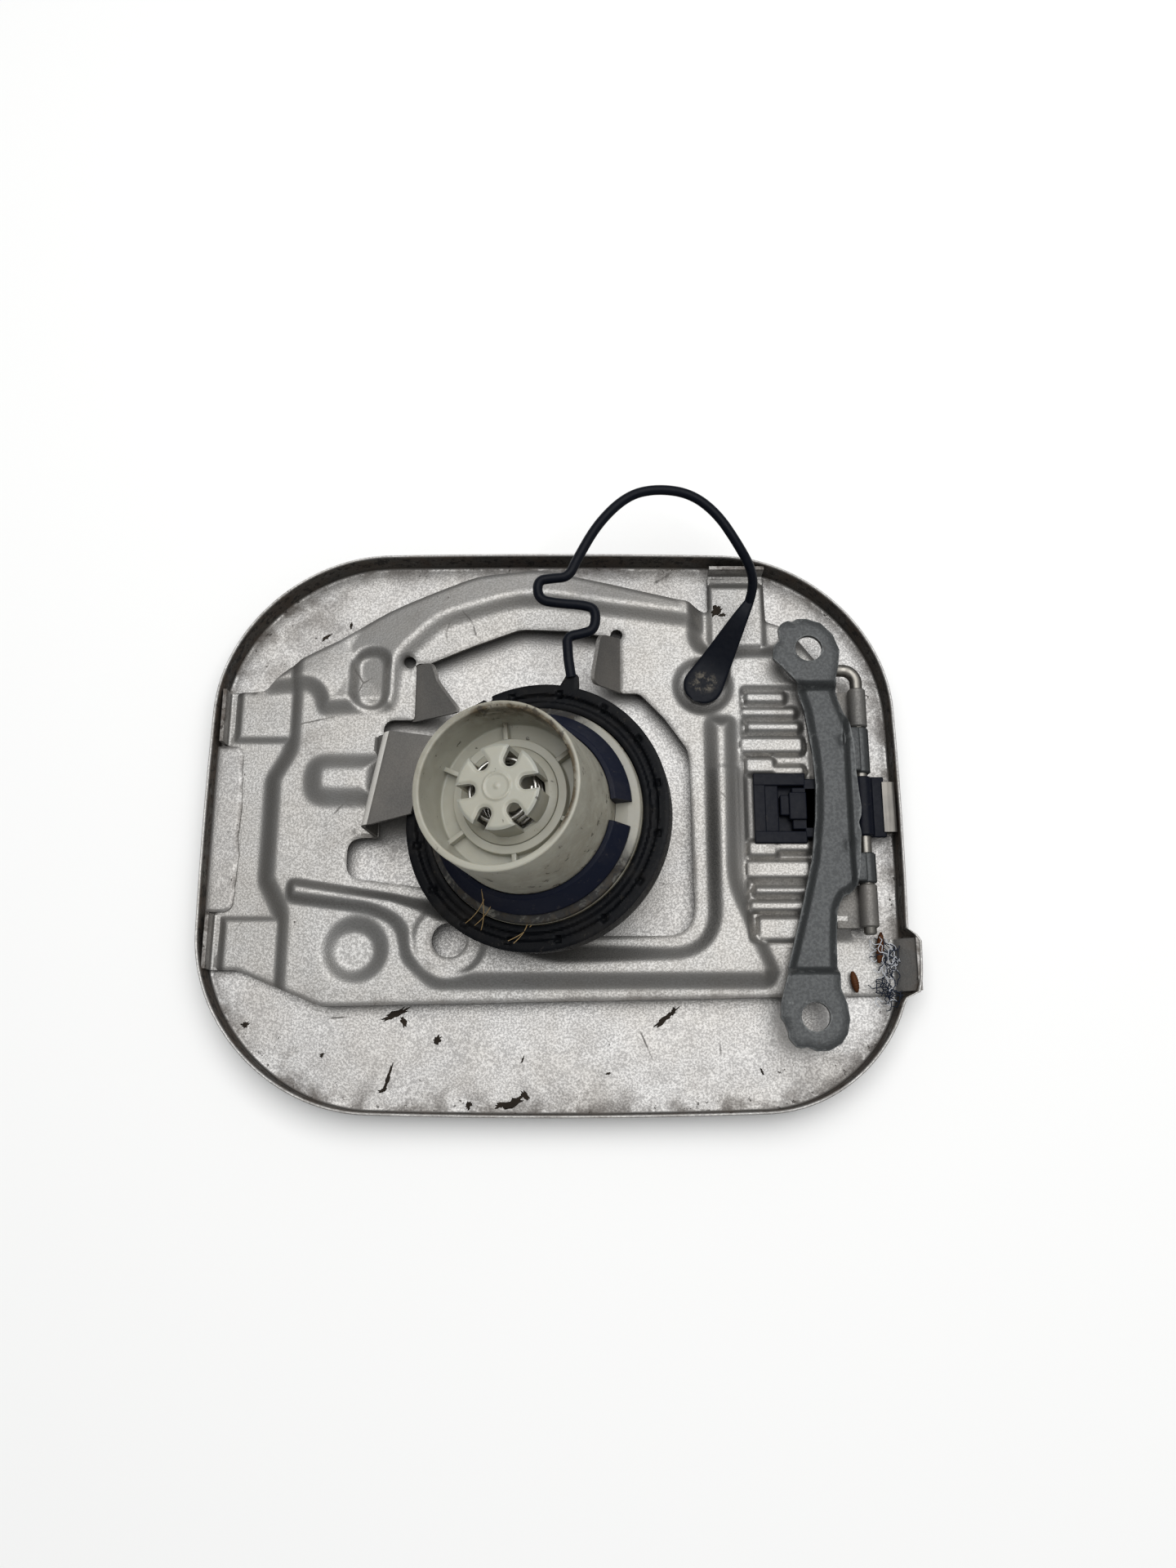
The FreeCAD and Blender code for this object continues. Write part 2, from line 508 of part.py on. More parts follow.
def make_check_clip():
    """Plastic clip: a frame in the panel's window, a tongue under the arm and a saddle over the pin."""
    saddle = PIN_DIAMETER / 2 + CLIP_GAP + CLIP_SADDLE_WALL
    width = CLIP_HIGH - CLIP_LOW
    under = MAIN_LEVEL - SHEET - CLIP_GAP
    plate = Part.makeBox(WINDOW_RIGHT - CLIP_GAP - CLIP_LEFT, width, CLIP_PLATE_TOP - under + CLIP_LIP,
                         Vector(CLIP_LEFT, CLIP_LOW, under - CLIP_LIP))
    tongue_low = MAIN_LEVEL + CLIP_GAP
    lip = Part.makeBox(CLIP_LEFT + 3, width + 2 * CLIP_LIP, CLIP_PLATE_TOP - tongue_low,
                       Vector(CLIP_LEFT - CLIP_LIP, CLIP_LOW - CLIP_LIP, tongue_low))
    lip = lip.common(Part.makeBox(13.5, 60, 20, Vector(CLIP_LEFT - CLIP_LIP, -30, 0)))
    tongue = Part.makeBox(HINGE_X - CLIP_LEFT, width, CLIP_PLATE_TOP - tongue_low,
                          Vector(CLIP_LEFT, CLIP_LOW, tongue_low))
    tail = Part.makeBox(CLIP_TAIL - HINGE_X, width, CLIP_TAIL_THICKNESS,
                        Vector(HINGE_X, CLIP_LOW, HINGE_Z - CLIP_TAIL_THICKNESS / 2))
    hook = strip([(62.4, CLIP_PLATE_TOP - 1), (62.4, CLIP_PLATE_TOP + 0.3), (65.0, CLIP_PLATE_TOP + 0.3)],
                 1.3, CLIP_LOW + 4.5, CLIP_HIGH - 0.4)
    body = fused([plate, lip, tongue, tail, cylinder_y(HINGE_X, HINGE_Z, saddle, CLIP_LOW, CLIP_HIGH), hook])
    recess = prism(rounded_box(CLIP_LEFT + 5.2, WINDOW_RIGHT - 3.5, CLIP_LOW + 2, CLIP_HIGH - 2.4, 2),
                   under - CLIP_LIP + 1.4, CLIP_PLATE_TOP - 1.2)
    mouth = prism(rounded_box(CLIP_LEFT + 5.2, CLIP_LEFT + 8.4, CLIP_LOW + 2, CLIP_HIGH - 2.4, 1.4),
                  under, CLIP_PLATE_TOP + 1)
    bore = cylinder_y(HINGE_X, HINGE_Z, PIN_DIAMETER / 2 + CLIP_GAP, -40, 40)
    return body.cut([recess, mouth, bore])


def make_check_spring():
    """Bright leaf at the clip's end, curled round a line along Y."""
    curl = LEAF_CURL_RADIUS
    middle_z = HINGE_Z + CLIP_TAIL_THICKNESS / 2 + LEAF / 2
    turns = [math.radians(90 - 30 * step) for step in range(9)]
    start = CLIP_TAIL + 0.6
    profile = [(CLIP_TAIL - 2.6, middle_z)]
    profile += [(start + curl * math.cos(turn), middle_z - curl + curl * math.sin(turn)) for turn in turns]
    return strip(profile, LEAF, CLIP_LOW + 1.6, CLIP_HIGH - 1.6)


def make_tether_ring():
    """Flat ring that the cap turns in, notched round its inner edge, with the strand's root on its rim."""
    inner = FLANGE_RADIUS + RUN_GAP
    ring = tube(RING_RADIUS, inner, -RING_THICKNESS, 0)
    notches = []
    for i in range(RING_NOTCHES):
        notch = Part.makeBox(2.6, 1.6, RING_THICKNESS, Vector(inner - 0.6, -0.8, -RING_THICKNESS / 2))
        notch.rotate(Vector(0, 0, 0), UP, 360 * (i + 0.5) / RING_NOTCHES)
        notches.append(notch)
    root = prism([(0, -3.6, 0), (RING_RADIUS, -3.6, 0), (RING_RADIUS + 3.4, -CORD_DIAMETER / 2, 0),
                  (RING_RADIUS + 3.4, CORD_DIAMETER / 2, 0), (RING_RADIUS, 3.6, 0), (0, 3.6, 0)],
                 -RING_THICKNESS, 0)
    root = root.cut(Part.makeCylinder(RING_RADIUS - 1, 10, Vector(0, 0, -5), UP))
    root.rotate(Vector(0, 0, 0), UP, TETHER_ROOT_ANGLE)
    return on_cap_axis(fused([ring, root]).cut(notches))


def tether_root():
    """Middle of the root's outer end, where the strand leaves the ring."""
    angle = math.radians(TETHER_ROOT_ANGLE)
    out = Vector(math.cos(angle), math.sin(angle), 0)
    start = out * (RING_RADIUS + 3.4) + Vector(0, 0, -RING_THICKNESS / 2)
    return cap_place().multVec(start)


# Route of the strand between the ring's root and the anchor's paddle
TETHER_ROUTE = [
    (6.4, 37.6, 29.4), (8.2, 42.6, 29.2), (9.6, 46.6, 28.6), (6.6, 49.2, 28.2), (1.4, 50.4, 28.0), (-2.2, 52.6, 27.8),
    (-1.4, 56.2, 27.6), (2.8, 58.4, 27.4), (5.6, 63.2, 27.0), (9.4, 70.4, 26.2), (15.0, 77.2, 25.0),
    (22.6, 80.6, 23.8), (31.0, 79.8, 22.4), (39.2, 75.2, 20.6), (45.4, 68.0, 18.4), (48.6, 61.0, 15.8)]
TETHER_END = (48.8, 54.6, 13.4)


def cord_tube(points, diameter):
    """Round cord along straight runs, each corner an arc as large as its two runs allow."""
    edges = []
    radii = []
    here = points[0]
    for i in range(1, len(points) - 1):
        before = points[i - 1] - points[i]
        after = points[i + 1] - points[i]
        reach = 0.45 * min(before.Length, after.Length)
        half = before.getAngle(after) / 2
        radii.append(reach * math.tan(half))
        start = points[i] + Vector(before).normalize() * reach
        end = points[i] + Vector(after).normalize() * reach
        inward = (Vector(before).normalize() + Vector(after).normalize()).normalize()
        middle = points[i] + inward * (radii[-1] / math.sin(half) - radii[-1])
        edges.append(Part.LineSegment(here, start).toShape())
        edges.append(Part.Arc(start, middle, end).toShape())
        here = end
    edges.append(Part.LineSegment(here, points[-1]).toShape())
    path = Part.Wire(edges)
    section = Part.Wire(Part.makeCircle(diameter / 2, points[0], points[1] - points[0]))
    cord = path.makePipeShell([section], True, False)
    print("strand bend radii", [round(radius, 1) for radius in radii])
    print("strand length", round(path.Length, 1), "volume ratio",
          round(cord.Volume / (path.Length * math.pi * diameter ** 2 / 4), 4))
    return cord


def make_tether_cord():
    return cord_tube([tether_root()] + [Vector(*point) for point in TETHER_ROUTE] + [Vector(*TETHER_END)],
                     CORD_DIAMETER)


def make_tether_anchor():
    """Paddle that widens from the strand to a round end, with a stud through the panel's dimple."""
    floor = MAIN_LEVEL - ANCHOR_DIMPLE_DEPTH
    end = Vector(*TETHER_END)
    back = Vector(ANCHOR_X, ANCHOR_Y, floor + ANCHOR_THICKNESS / 2) - end
    along = Vector(back).normalize()
    tip = Part.Wire(Part.makeCircle(CORD_DIAMETER / 2, end, Vector(*TETHER_END) - Vector(*TETHER_ROUTE[-1])))
    across = along.cross(UP).normalize()
    lift = across.cross(along).normalize()

    def section(share, half_width, half_thickness):
        centre = end + back * share
        corners = [centre + across * (half_width * a) + lift * (half_thickness * b)
                   for a, b in ((1, 1), (-1, 1), (-1, -1), (1, -1))]
        return Part.Wire(Part.makePolygon(corners + corners[:1]))

    blade = Part.makeLoft([section(0, CORD_DIAMETER * 0.48, CORD_DIAMETER * 0.42), section(0.45, 3.0, 1.2),
                           section(0.86, 4.4, 1.0)], True, True)
    disc = Part.makeCylinder(ANCHOR_DISC_RADIUS, ANCHOR_THICKNESS, Vector(ANCHOR_X, ANCHOR_Y, floor + RUN_GAP / 3), UP)
    stud = Part.makeCylinder(ANCHOR_STUD_RADIUS, SHEET + 2, Vector(ANCHOR_X, ANCHOR_Y, floor - SHEET - 1.6), UP)
    barb = Part.makeCone(ANCHOR_STUD_RADIUS - 0.8, ANCHOR_STUD_RADIUS + 0.7, 1.4,
                         Vector(ANCHOR_X, ANCHOR_Y, floor - SHEET - 1.8), UP)
    return fused([disc, stud, barb, blade])


def make_cap_shell():
    """Outer shell: a cup open towards the plug, with an arched grip across its floor."""
    rim = -RING_THICKNESS - RUN_GAP
    radius, wall, depth, bend = SHELL_RADIUS, SHELL_WALL, SHELL_DEPTH, SHELL_ROUND

    def cup(outer, bottom, rounding, top):
        points = [Vector(0, 0, top), Vector(0, 0, bottom), Vector(outer - rounding, 0, bottom),
                  Vector(outer, 0, bottom + rounding), Vector(outer, 0, top)]
        slant = rounding * math.sqrt(0.5)
        middle = Vector(outer - rounding + slant, 0, bottom + rounding - slant)
        edges = [Part.LineSegment(points[0], points[1]).toShape(), Part.LineSegment(points[1], points[2]).toShape(),
                 Part.Arc(points[2], middle, points[3]).toShape(), Part.LineSegment(points[3], points[4]).toShape(),
                 Part.LineSegment(points[4], points[0]).toShape()]
        return Part.Face(Part.Wire(edges)).revolve(Vector(0, 0, 0), UP, 360)

    grip_end = -depth - GRIP_REACH
    arch = [Vector(-GRIP_HALF_LENGTH, 0, -depth + 2), Vector(0, 0, grip_end), Vector(GRIP_HALF_LENGTH, 0, -depth + 2)]
    profile = Part.Wire([Part.Arc(*arch).toShape(), Part.LineSegment(arch[2], arch[0]).toShape()])
    grip = Part.Face(profile).extrude(Vector(0, 2 * GRIP_HALF_WIDTH, 0)).translated(Vector(0, -GRIP_HALF_WIDTH, 0))
    grip.rotate(Vector(0, 0, 0), UP, 90)
    arch_edges = [edge for edge in grip.Edges if edge.BoundBox.ZMin < grip_end + 0.1]
    grip = grip.makeFillet(GRIP_EDGE_ROUND, arch_edges)
    post = Part.makeCylinder(PIVOT_RADIUS + 2, SHELL_WALL + 2, Vector(0, 0, -depth + wall / 2), UP)
    inside = cup(radius - wall, wall - depth, bend - wall, 1)
    shell = cup(radius, -depth, bend, rim).cut(inside).fuse(grip.cut(inside)).fuse(post)
    bore = Part.makeCylinder(PIVOT_RADIUS + PIN_FIT, SHELL_WALL + 4, Vector(0, 0, -depth + wall), UP)
    return on_cap_axis(shell.cut(bore).removeSplitter())


def flange_foot():
    return FLANGE_TOP - FLANGE_THICKNESS


def make_torque_plate():
    """Ratchet plate on the shell's floor, with saw teeth round its rim."""
    low = -SHELL_DEPTH + SHELL_WALL + RUN_GAP
    points = []
    for i in range(RATCHET_TEETH):
        turn = 2 * math.pi * i / RATCHET_TEETH
        step = 2 * math.pi / RATCHET_TEETH
        for radius, angle in ((TORQUE_PLATE_RADIUS - 4, turn), (TORQUE_PLATE_RADIUS - 6.5, turn + step * 0.85)):
            points.append(Vector(radius * math.cos(angle), radius * math.sin(angle), low))
    plate = Part.Face(Part.makePolygon(points + points[:1])).extrude(Vector(0, 0, TORQUE_PLATE_THICKNESS))
    return on_cap_axis(plate.cut(Part.makeCylinder(PIVOT_RADIUS + 2 + RUN_GAP, 40, Vector(0, 0, -30), UP)))


def make_body_cover():
    """Disc that closes the body's underside, with the pivot that the shell turns on."""
    top = flange_foot()
    disc = Part.makeCylinder(FLANGE_RADIUS - 1, COVER_THICKNESS, Vector(0, 0, top - COVER_THICKNESS), UP)
    foot = -SHELL_DEPTH + SHELL_WALL + 2 * RUN_GAP
    pivot = Part.makeCylinder(PIVOT_RADIUS, top - COVER_THICKNESS - foot + 0.2, Vector(0, 0, foot), UP)
    vents = [Part.makeCylinder(1.5, 10, Vector(11 * math.cos(a), 11 * math.sin(a), top - 6), UP)
             for a in (math.radians(60 * i) for i in range(6))]
    return on_cap_axis(disc.fuse(pivot).cut(vents).removeSplitter())


def make_cap_body():
    """Plug: a flange, a tapered hollow stem and the valve cup inside it, moulded as one."""
    foot = flange_foot()
    root, end, wall = PLUG_ROOT_RADIUS, PLUG_END_RADIUS, PLUG_WALL
    cup_in = CUP_RADIUS - CUP_WALL
    floor_top = PLUG_FLOOR + PLUG_FLOOR_THICKNESS
    body = revolved([
        (root - wall - 0.6, foot), (FLANGE_RADIUS, foot), (FLANGE_RADIUS, FLANGE_TOP), (root, FLANGE_TOP),
        (root - 0.1, COLLAR_TOP), (end, PLUG_LENGTH - 0.6), (end - 0.5, PLUG_LENGTH), (end - wall, PLUG_LENGTH),
        (end - wall - 0.2, floor_top), (CUP_RADIUS, floor_top), (CUP_RADIUS, CUP_TOP), (cup_in, CUP_TOP),
        (cup_in, SEAT_LEVEL), (SEAT_HOLE_RADIUS, SEAT_LEVEL), (SEAT_HOLE_RADIUS, SEAT_LEVEL - SEAT_THICKNESS),
        (CUP_RADIUS, SEAT_LEVEL - SEAT_THICKNESS), (CUP_RADIUS, PLUG_FLOOR), (root - wall - 1.0, PLUG_FLOOR)])
    ribs = []
    for i in range(RETAINER_SLOTS):
        rib = Part.makeBox(end - wall - CUP_RADIUS + 1, 1.0, CUP_TOP - floor_top + 0.5,
                           Vector(CUP_RADIUS - 0.5, -0.5, floor_top - 0.5))
        rib.rotate(Vector(0, 0, 0), UP, 95 + 60 * i)
        ribs.append(rib)
    return on_cap_axis(fused([body] + ribs))


def make_neck_gasket():
    """Rubber ring on the flange round the plug's root."""
    low = FLANGE_TOP
    return on_cap_axis(tube(GASKET_RADIUS, PLUG_ROOT_RADIUS + PIN_FIT, low, low + GASKET_THICKNESS))


def make_split_collar():
    """Conical collar with a gap, which keeps the gasket on its seat."""
    low = FLANGE_TOP + GASKET_THICKNESS
    bore = PLUG_ROOT_RADIUS + PIN_FIT
    collar = revolved([(bore, low), (COLLAR_RADIUS, low), (COLLAR_RADIUS, low + 1.6), (bore + 1.2, COLLAR_TOP),
                       (bore, COLLAR_TOP)])
    reach = COLLAR_RADIUS + 2
    half = math.radians(COLLAR_GAP_ANGLE / 2)
    wedge = [Vector(0, 0, low - 1), Vector(reach, -reach * math.tan(half), low - 1),
             Vector(reach, reach * math.tan(half), low - 1)]
    gap = Part.Face(Part.makePolygon(wedge + wedge[:1])).extrude(Vector(0, 0, COLLAR_TOP + 2))
    gap.rotate(Vector(0, 0, 0), UP, COLLAR_GAP_DIRECTION)
    return on_cap_axis(collar.cut(gap))


def make_valve_retainer():
    """Slotted basket over the vacuum spring, standing in the cup's mouth."""
    low = CUP_TOP - 2.0
    seat = CUP_RADIUS - CUP_WALL - PIN_FIT
    inner = RETAINER_RADIUS - RETAINER_WALL
    basket = revolved([(inner, low), (seat, low), (seat, CUP_TOP), (RETAINER_RADIUS, CUP_TOP + 1),
                       (RETAINER_RADIUS, RETAINER_TOP - 0.8), (RETAINER_RADIUS - 0.8, RETAINER_TOP), (0, RETAINER_TOP),
                       (0, RETAINER_TOP - RETAINER_FACE), (inner, RETAINER_TOP - RETAINER_FACE)])
    slots = []
    for i in range(RETAINER_SLOTS):
        half = RETAINER_SLOT_WIDTH / 2
        slot = Part.makeBox(RETAINER_RADIUS, 2 * half, 5, Vector(RETAINER_SLOT_START, -half, RETAINER_TOP - 4))
        slot = slot.fuse(Part.makeCylinder(half, 5, Vector(RETAINER_SLOT_START, 0, RETAINER_TOP - 4), UP))
        slot.rotate(Vector(0, 0, 0), UP, 60 * i + 5)
        slots.append(slot)
    return on_cap_axis(basket.cut(slots))


def plate_foot():
    return SEAT_LEVEL + SEAL_THICKNESS


def make_valve_seal():
    return on_cap_axis(tube(VALVE_PLATE_RADIUS - 0.4, VALVE_STEM_RADIUS + 2.2, SEAT_LEVEL, plate_foot()))


def make_vacuum_valve():
    """Valve plate that the large spring holds on the seat, with a guide collar for the relief stem."""
    low = plate_foot()
    high = low + VALVE_PLATE_THICKNESS
    bore = VALVE_STEM_RADIUS + VALVE_STEM_FIT
    return on_cap_axis(revolved([(bore, low), (VALVE_PLATE_RADIUS, low), (VALVE_PLATE_RADIUS, high),
                                 (bore + 0.9, high), (bore + 0.9, high + 1.2), (bore, high + 1.2)]))


def make_relief_valve():
    """Small mushroom valve: its disc closes the seal from below, its head takes the small spring."""
    low = SEAT_LEVEL - 1.4
    head = plate_foot() + VALVE_PLATE_THICKNESS + 8
    lip = VALVE_STEM_RADIUS + 3.4
    stem = VALVE_STEM_RADIUS
    return on_cap_axis(revolved([(0, low), (lip, low), (lip, SEAT_LEVEL - PIN_FIT), (stem, SEAT_LEVEL - PIN_FIT),
                                 (stem, head - 1), (RELIEF_COIL_RADIUS + 0.6, head - 1),
                                 (RELIEF_COIL_RADIUS + 0.6, head), (0, head)]))


def make_vacuum_spring():
    low = plate_foot() + VALVE_PLATE_THICKNESS
    return on_cap_axis(coil(VACUUM_COIL_RADIUS, VACUUM_WIRE, low, RETAINER_TOP - RETAINER_FACE, VACUUM_TURNS))


def make_relief_spring():
    low = plate_foot() + VALVE_PLATE_THICKNESS
    return on_cap_axis(coil(RELIEF_COIL_RADIUS, RELIEF_WIRE, low, low + 7, RELIEF_TURNS))


PIECES = {
    "outer_panel": make_outer_panel, "inner_panel": make_inner_panel, "hinge_pin": make_hinge_pin,
    "hinge_arm": make_hinge_arm, "check_clip": make_check_clip, "check_spring": make_check_spring,
    "tether_ring": make_tether_ring, "tether_cord": make_tether_cord, "tether_anchor": make_tether_anchor,
    "cap_shell": make_cap_shell, "torque_plate": make_torque_plate, "body_cover": make_body_cover,
    "cap_body": make_cap_body, "neck_gasket": make_neck_gasket, "split_collar": make_split_collar,
    "valve_retainer": make_valve_retainer, "valve_seal": make_valve_seal, "vacuum_valve": make_vacuum_valve,
    "relief_valve": make_relief_valve, "vacuum_spring": make_vacuum_spring, "relief_spring": make_relief_spring}

# The bulge makes the door longer on one side, so every piece moves to centre the whole on the origin
CENTRING = Vector(-BULGE_REACH / 2, 0, 0)
for name, make in PIECES.items():
    make().translated(CENTRING).exportStep(f"parts/{name}.step")
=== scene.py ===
"""Car fuel filler door lying on its painted face, with its tethered fuel cap parked in the cap holder.

Shapes are drawn in millimetres in the door's own frame: X from the latch edge to the hinge edge, Y up the
door, Z out of its inner side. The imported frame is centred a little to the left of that, by SHIFT. A shape is
a pair: its points, and its faces as a list of arrays of point numbers, one face to a row, with -1 where a
face has fewer corners than its array has columns.
"""
import bmesh
import bpy
import math
import numpy as np
from mathutils import Matrix, Vector


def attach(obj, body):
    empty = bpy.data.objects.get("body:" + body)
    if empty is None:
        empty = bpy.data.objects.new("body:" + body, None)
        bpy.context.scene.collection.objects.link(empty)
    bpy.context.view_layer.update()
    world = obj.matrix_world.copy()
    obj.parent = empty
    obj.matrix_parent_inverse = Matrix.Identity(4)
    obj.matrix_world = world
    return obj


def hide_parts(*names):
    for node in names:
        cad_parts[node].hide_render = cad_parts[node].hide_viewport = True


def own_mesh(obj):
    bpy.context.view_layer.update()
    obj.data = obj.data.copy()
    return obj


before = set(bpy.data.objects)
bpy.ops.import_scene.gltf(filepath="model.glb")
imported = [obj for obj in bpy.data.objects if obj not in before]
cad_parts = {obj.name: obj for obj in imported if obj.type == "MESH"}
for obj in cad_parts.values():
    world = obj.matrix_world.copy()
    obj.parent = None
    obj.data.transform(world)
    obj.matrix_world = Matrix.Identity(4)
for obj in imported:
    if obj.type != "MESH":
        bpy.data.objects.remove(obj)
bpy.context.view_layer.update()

SHIFT = -1.6
MM = 0.001

# Levels of the pressed inner panel, and its sheet
SHEET = 0.9
FLANGE = 4.5
PAD = 5.6
MAIN = 7.4
BEAD_HEIGHT = 2.5
RIB_HEIGHT = 1.9
LADDER_DROP = 1.3

# Outer panel
HALF_WIDTH = 89.0
HALF_HEIGHT = 73.5
EDGE_BOW = 2.5
SKIN = 0.8
CROWN = 2000.0
WALL = 8.0
EDGE_ROLL = 2.2
INNER_ROLL = 0.7

# Hinge: the pin's line, and where the panel's and the arm's knuckles lie along it
HINGE_X = 79.3
HINGE_Z = 9.05
PANEL_KNUCKLES = ((24.2, 34.6), (-27.8, -17.0))
ARM_KNUCKLES = ((11.8, 23.9), (-16.7, -9.0))
KNUCKLE_BORE = 1.65

# Parked cap
CAP_PLACE = (-4.0, -2.8, 26.0)
CAP_TILT = math.radians(14.0)


# Shapes

def framed(points):
    """Millimetres in the door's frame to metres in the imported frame."""
    return (np.asarray(points, float) + (SHIFT, 0, 0)) * MM


def capped(points):
    """Points round the cap's own axis to the door's frame: leant by the tilt, then moved to the cap's place."""
    x, y, s = np.asarray(points, float).T
    sine, cosine = math.sin(CAP_TILT), math.cos(CAP_TILT)
    return np.stack([x * cosine - s * sine, y, x * sine + s * cosine], 1) + CAP_PLACE


def smooth(value):
    """Eased step from 0 to 1: three times the value's square less twice its cube."""
    value = np.clip(value, 0, 1)
    return value * value * (3 - 2 * value)


def bend(start, corner, end, count):
    """Points of the quadratic curve from start to end whose ends point at the corner."""
    t = np.linspace(0, 1, count)[:, None]
    return (1 - t) ** 2 * start + 2 * t * (1 - t) * corner + t ** 2 * end


def rounded(corners, turn=10.0):
    """Closed outline of (x, y, radius) corners, each a bend that starts radius / tan(half angle) before it."""
    corners = np.array(corners, float)
    runs = []
    for (x, y, radius), before, after in zip(corners, np.roll(corners, 1, 0), np.roll(corners, -1, 0)):
        here = np.array([x, y])
        before, after = before[:2] - here, after[:2] - here
        room = 0.49 * min(np.linalg.norm(before), np.linalg.norm(after))
        before /= np.linalg.norm(before)
        after /= np.linalg.norm(after)
        half = math.acos(np.clip(before @ after, -1, 1)) / 2
        reach = min(radius / math.tan(half), room) if radius else 0
        count = max(2, int(math.degrees(math.pi - 2 * half) / turn) + 1)
        sharp = reach < 1e-3
        runs.append(here[None] if sharp else bend(here + before * reach, here, here + after * reach, count + 1))
    return np.concatenate(runs)


def circle(x, y, radius, count=72):
    turn = np.linspace(0, 2 * math.pi, count, endpoint=False)
    return np.stack([x + radius * np.cos(turn), y + radius * np.sin(turn)], 1)


def box_loop(left, right, low, high, radius):
    return rounded([(left, low, radius), (right, low, radius), (right, high, radius), (left, high, radius)])


def inside(xy, loop, margin=8.0):
    """Distance of points from the nearest stretch of a closed loop, negative outside it.

    A point is inside where a line from it to the right crosses the loop an odd number of times.
    """
    result = np.full(len(xy), -margin)
    near = np.flatnonzero(((xy > loop.min(0) - margin) & (xy < loop.max(0) + margin)).all(1))
    p = xy[near]
    best = np.full(len(p), 1e9)
    within = np.zeros(len(p), bool)
    for a, b in zip(loop, np.roll(loop, -1, 0)):
        run = b - a
        size = run @ run
        if size < 1e-12:
            continue
        share = np.clip((p - a) @ run / size, 0, 1)
        best = np.minimum(best, ((p - a - share[:, None] * run) ** 2).sum(1))
        if abs(run[1]) > 1e-12:
            crosses = (a[1] > p[:, 1]) != (b[1] > p[:, 1])
            within ^= crosses & (p[:, 0] < a[0] + (p[:, 1] - a[1]) / run[1] * run[0])
    result[near] = np.where(within, 1, -1) * np.sqrt(best)
    return result


def ripple(xy, size, seed):
    """Seeded unevenness from about -1 to 1: the sum of seven sine waves of about that size, each its own way."""
    draw = np.random.default_rng(seed)
    total = np.zeros(len(xy))
    for _ in range(7):
        turn = draw.uniform(0, 2 * math.pi)
        wave = (xy @ (math.cos(turn), math.sin(turn))) * 2 * math.pi / (size * draw.uniform(0.7, 1.6))
        total += np.sin(wave + draw.uniform(0, 2 * math.pi))
    return total / 4.0


def wound(rows, size, full=False):
    """Faces between neighbouring rows of points, each row a closed loop.

    The rows either run round to the first again or end in two flat faces.
    """
    i, j = np.meshgrid(np.arange(rows if full else rows - 1), np.arange(size), indexing="ij")
    here, beyond, k = i * size, (i + 1) % rows * size, (j + 1) % size
    quads = np.stack([here + j, here + k, beyond + k, beyond + j], -1).reshape(-1, 4)
    ends = np.stack([np.arange(size)[::-1], (rows - 1) * size + np.arange(size)])
    return [quads] if full else [quads, ends]


def pressed_sheet(edge, height, thickness, box, step):
    """Sheet on a square grid, trimmed along the line where edge(xy), the distance inside it, is zero.

    Grid points close to that line are moved onto it. A cell that it crosses keeps its inner corners and gains
    the points where its sides meet the line. The top face is height(xy, distance), the under face lies a
    thickness lower, and a wall joins their rims. Gives points, faces and every point's distance.
    """
    left, right, low, high = box
    xs, ys = np.arange(left, right + step, step), np.arange(low, high + step, step)
    wide, tall = len(xs), len(ys)
    xy = np.stack(np.meshgrid(xs, ys), -1).reshape(-1, 2)
    d = edge(xy)
    slope_y, slope_x = np.gradient(d.reshape(tall, wide), step)
    slope = np.stack([slope_x.ravel(), slope_y.ravel()], 1)
    slope /= np.maximum(np.linalg.norm(slope, axis=1, keepdims=True), 0.3)
    close = np.abs(d) < 0.36 * step
    xy[close] -= slope[close] * d[close, None]
    d[close] = 0.0
    keep = d >= 0
    cells = (np.arange(tall - 1)[:, None] * wide + np.arange(wide - 1)).ravel()
    corners = np.stack([cells, cells + 1, cells + wide + 1, cells + wide], 1)
    count = keep[corners].sum(1)

    # Cells on the line: a kept corner and a crossing take turns in a row, and the gaps are closed up
    ring = corners[(count > 0) & (count < 4)]
    after = np.roll(ring, -1, 1)
    inner, outer = np.where(keep[ring], ring, after), np.where(keep[ring], after, ring)
    crossed = (keep[ring] != keep[after]) & (d[inner] > 0)
    sides, which = np.unique((inner * len(d) + outer)[crossed], return_inverse=True)
    cut = np.full((len(ring), 4, 2), -1)
    cut[..., 0][keep[ring]] = ring[keep[ring]]
    cut[..., 1][crossed] = len(d) + which
    cut = cut.reshape(-1, 8)
    cut = np.take_along_axis(cut, np.argsort(cut < 0, 1, kind="stable"), 1)[:, :6]
    inner, outer = np.divmod(sides, len(d))
    share = d[inner] / (d[inner] - d[outer])
    plan = np.concatenate([xy, xy[inner] + share[:, None] * (xy[outer] - xy[inner])])
    depth = np.concatenate([d, np.zeros(len(sides))])

    # Only points in use are kept, numbered afresh
    whole = np.pad(corners[count == 4], ((0, 0), (0, 2)), constant_values=-1)
    top = np.concatenate([whole, cut[cut[:, 2] >= 0]])
    filled = top >= 0
    used, top[filled] = np.unique(top[filled], return_inverse=True)
    plan, depth, total = plan[used], depth[used], len(used)
    following = np.roll(top, -1, 1)
    following[np.arange(len(top)), filled.sum(1) - 1] = top[:, 0]
    a, b = top[filled], following[filled]
    rim = ~np.isin(a * total + b, b * total + a)
    a, b = a[rim], b[rim]
    level = height(plan, depth)
    points = np.concatenate([np.column_stack([plan, level]), np.column_stack([plan, level - thickness])])
    under = np.where(filled, top + total, -1)[:, ::-1]
    return points, [top, under, np.stack([b, a, a + total, b + total], 1)], np.tile(depth, 2)


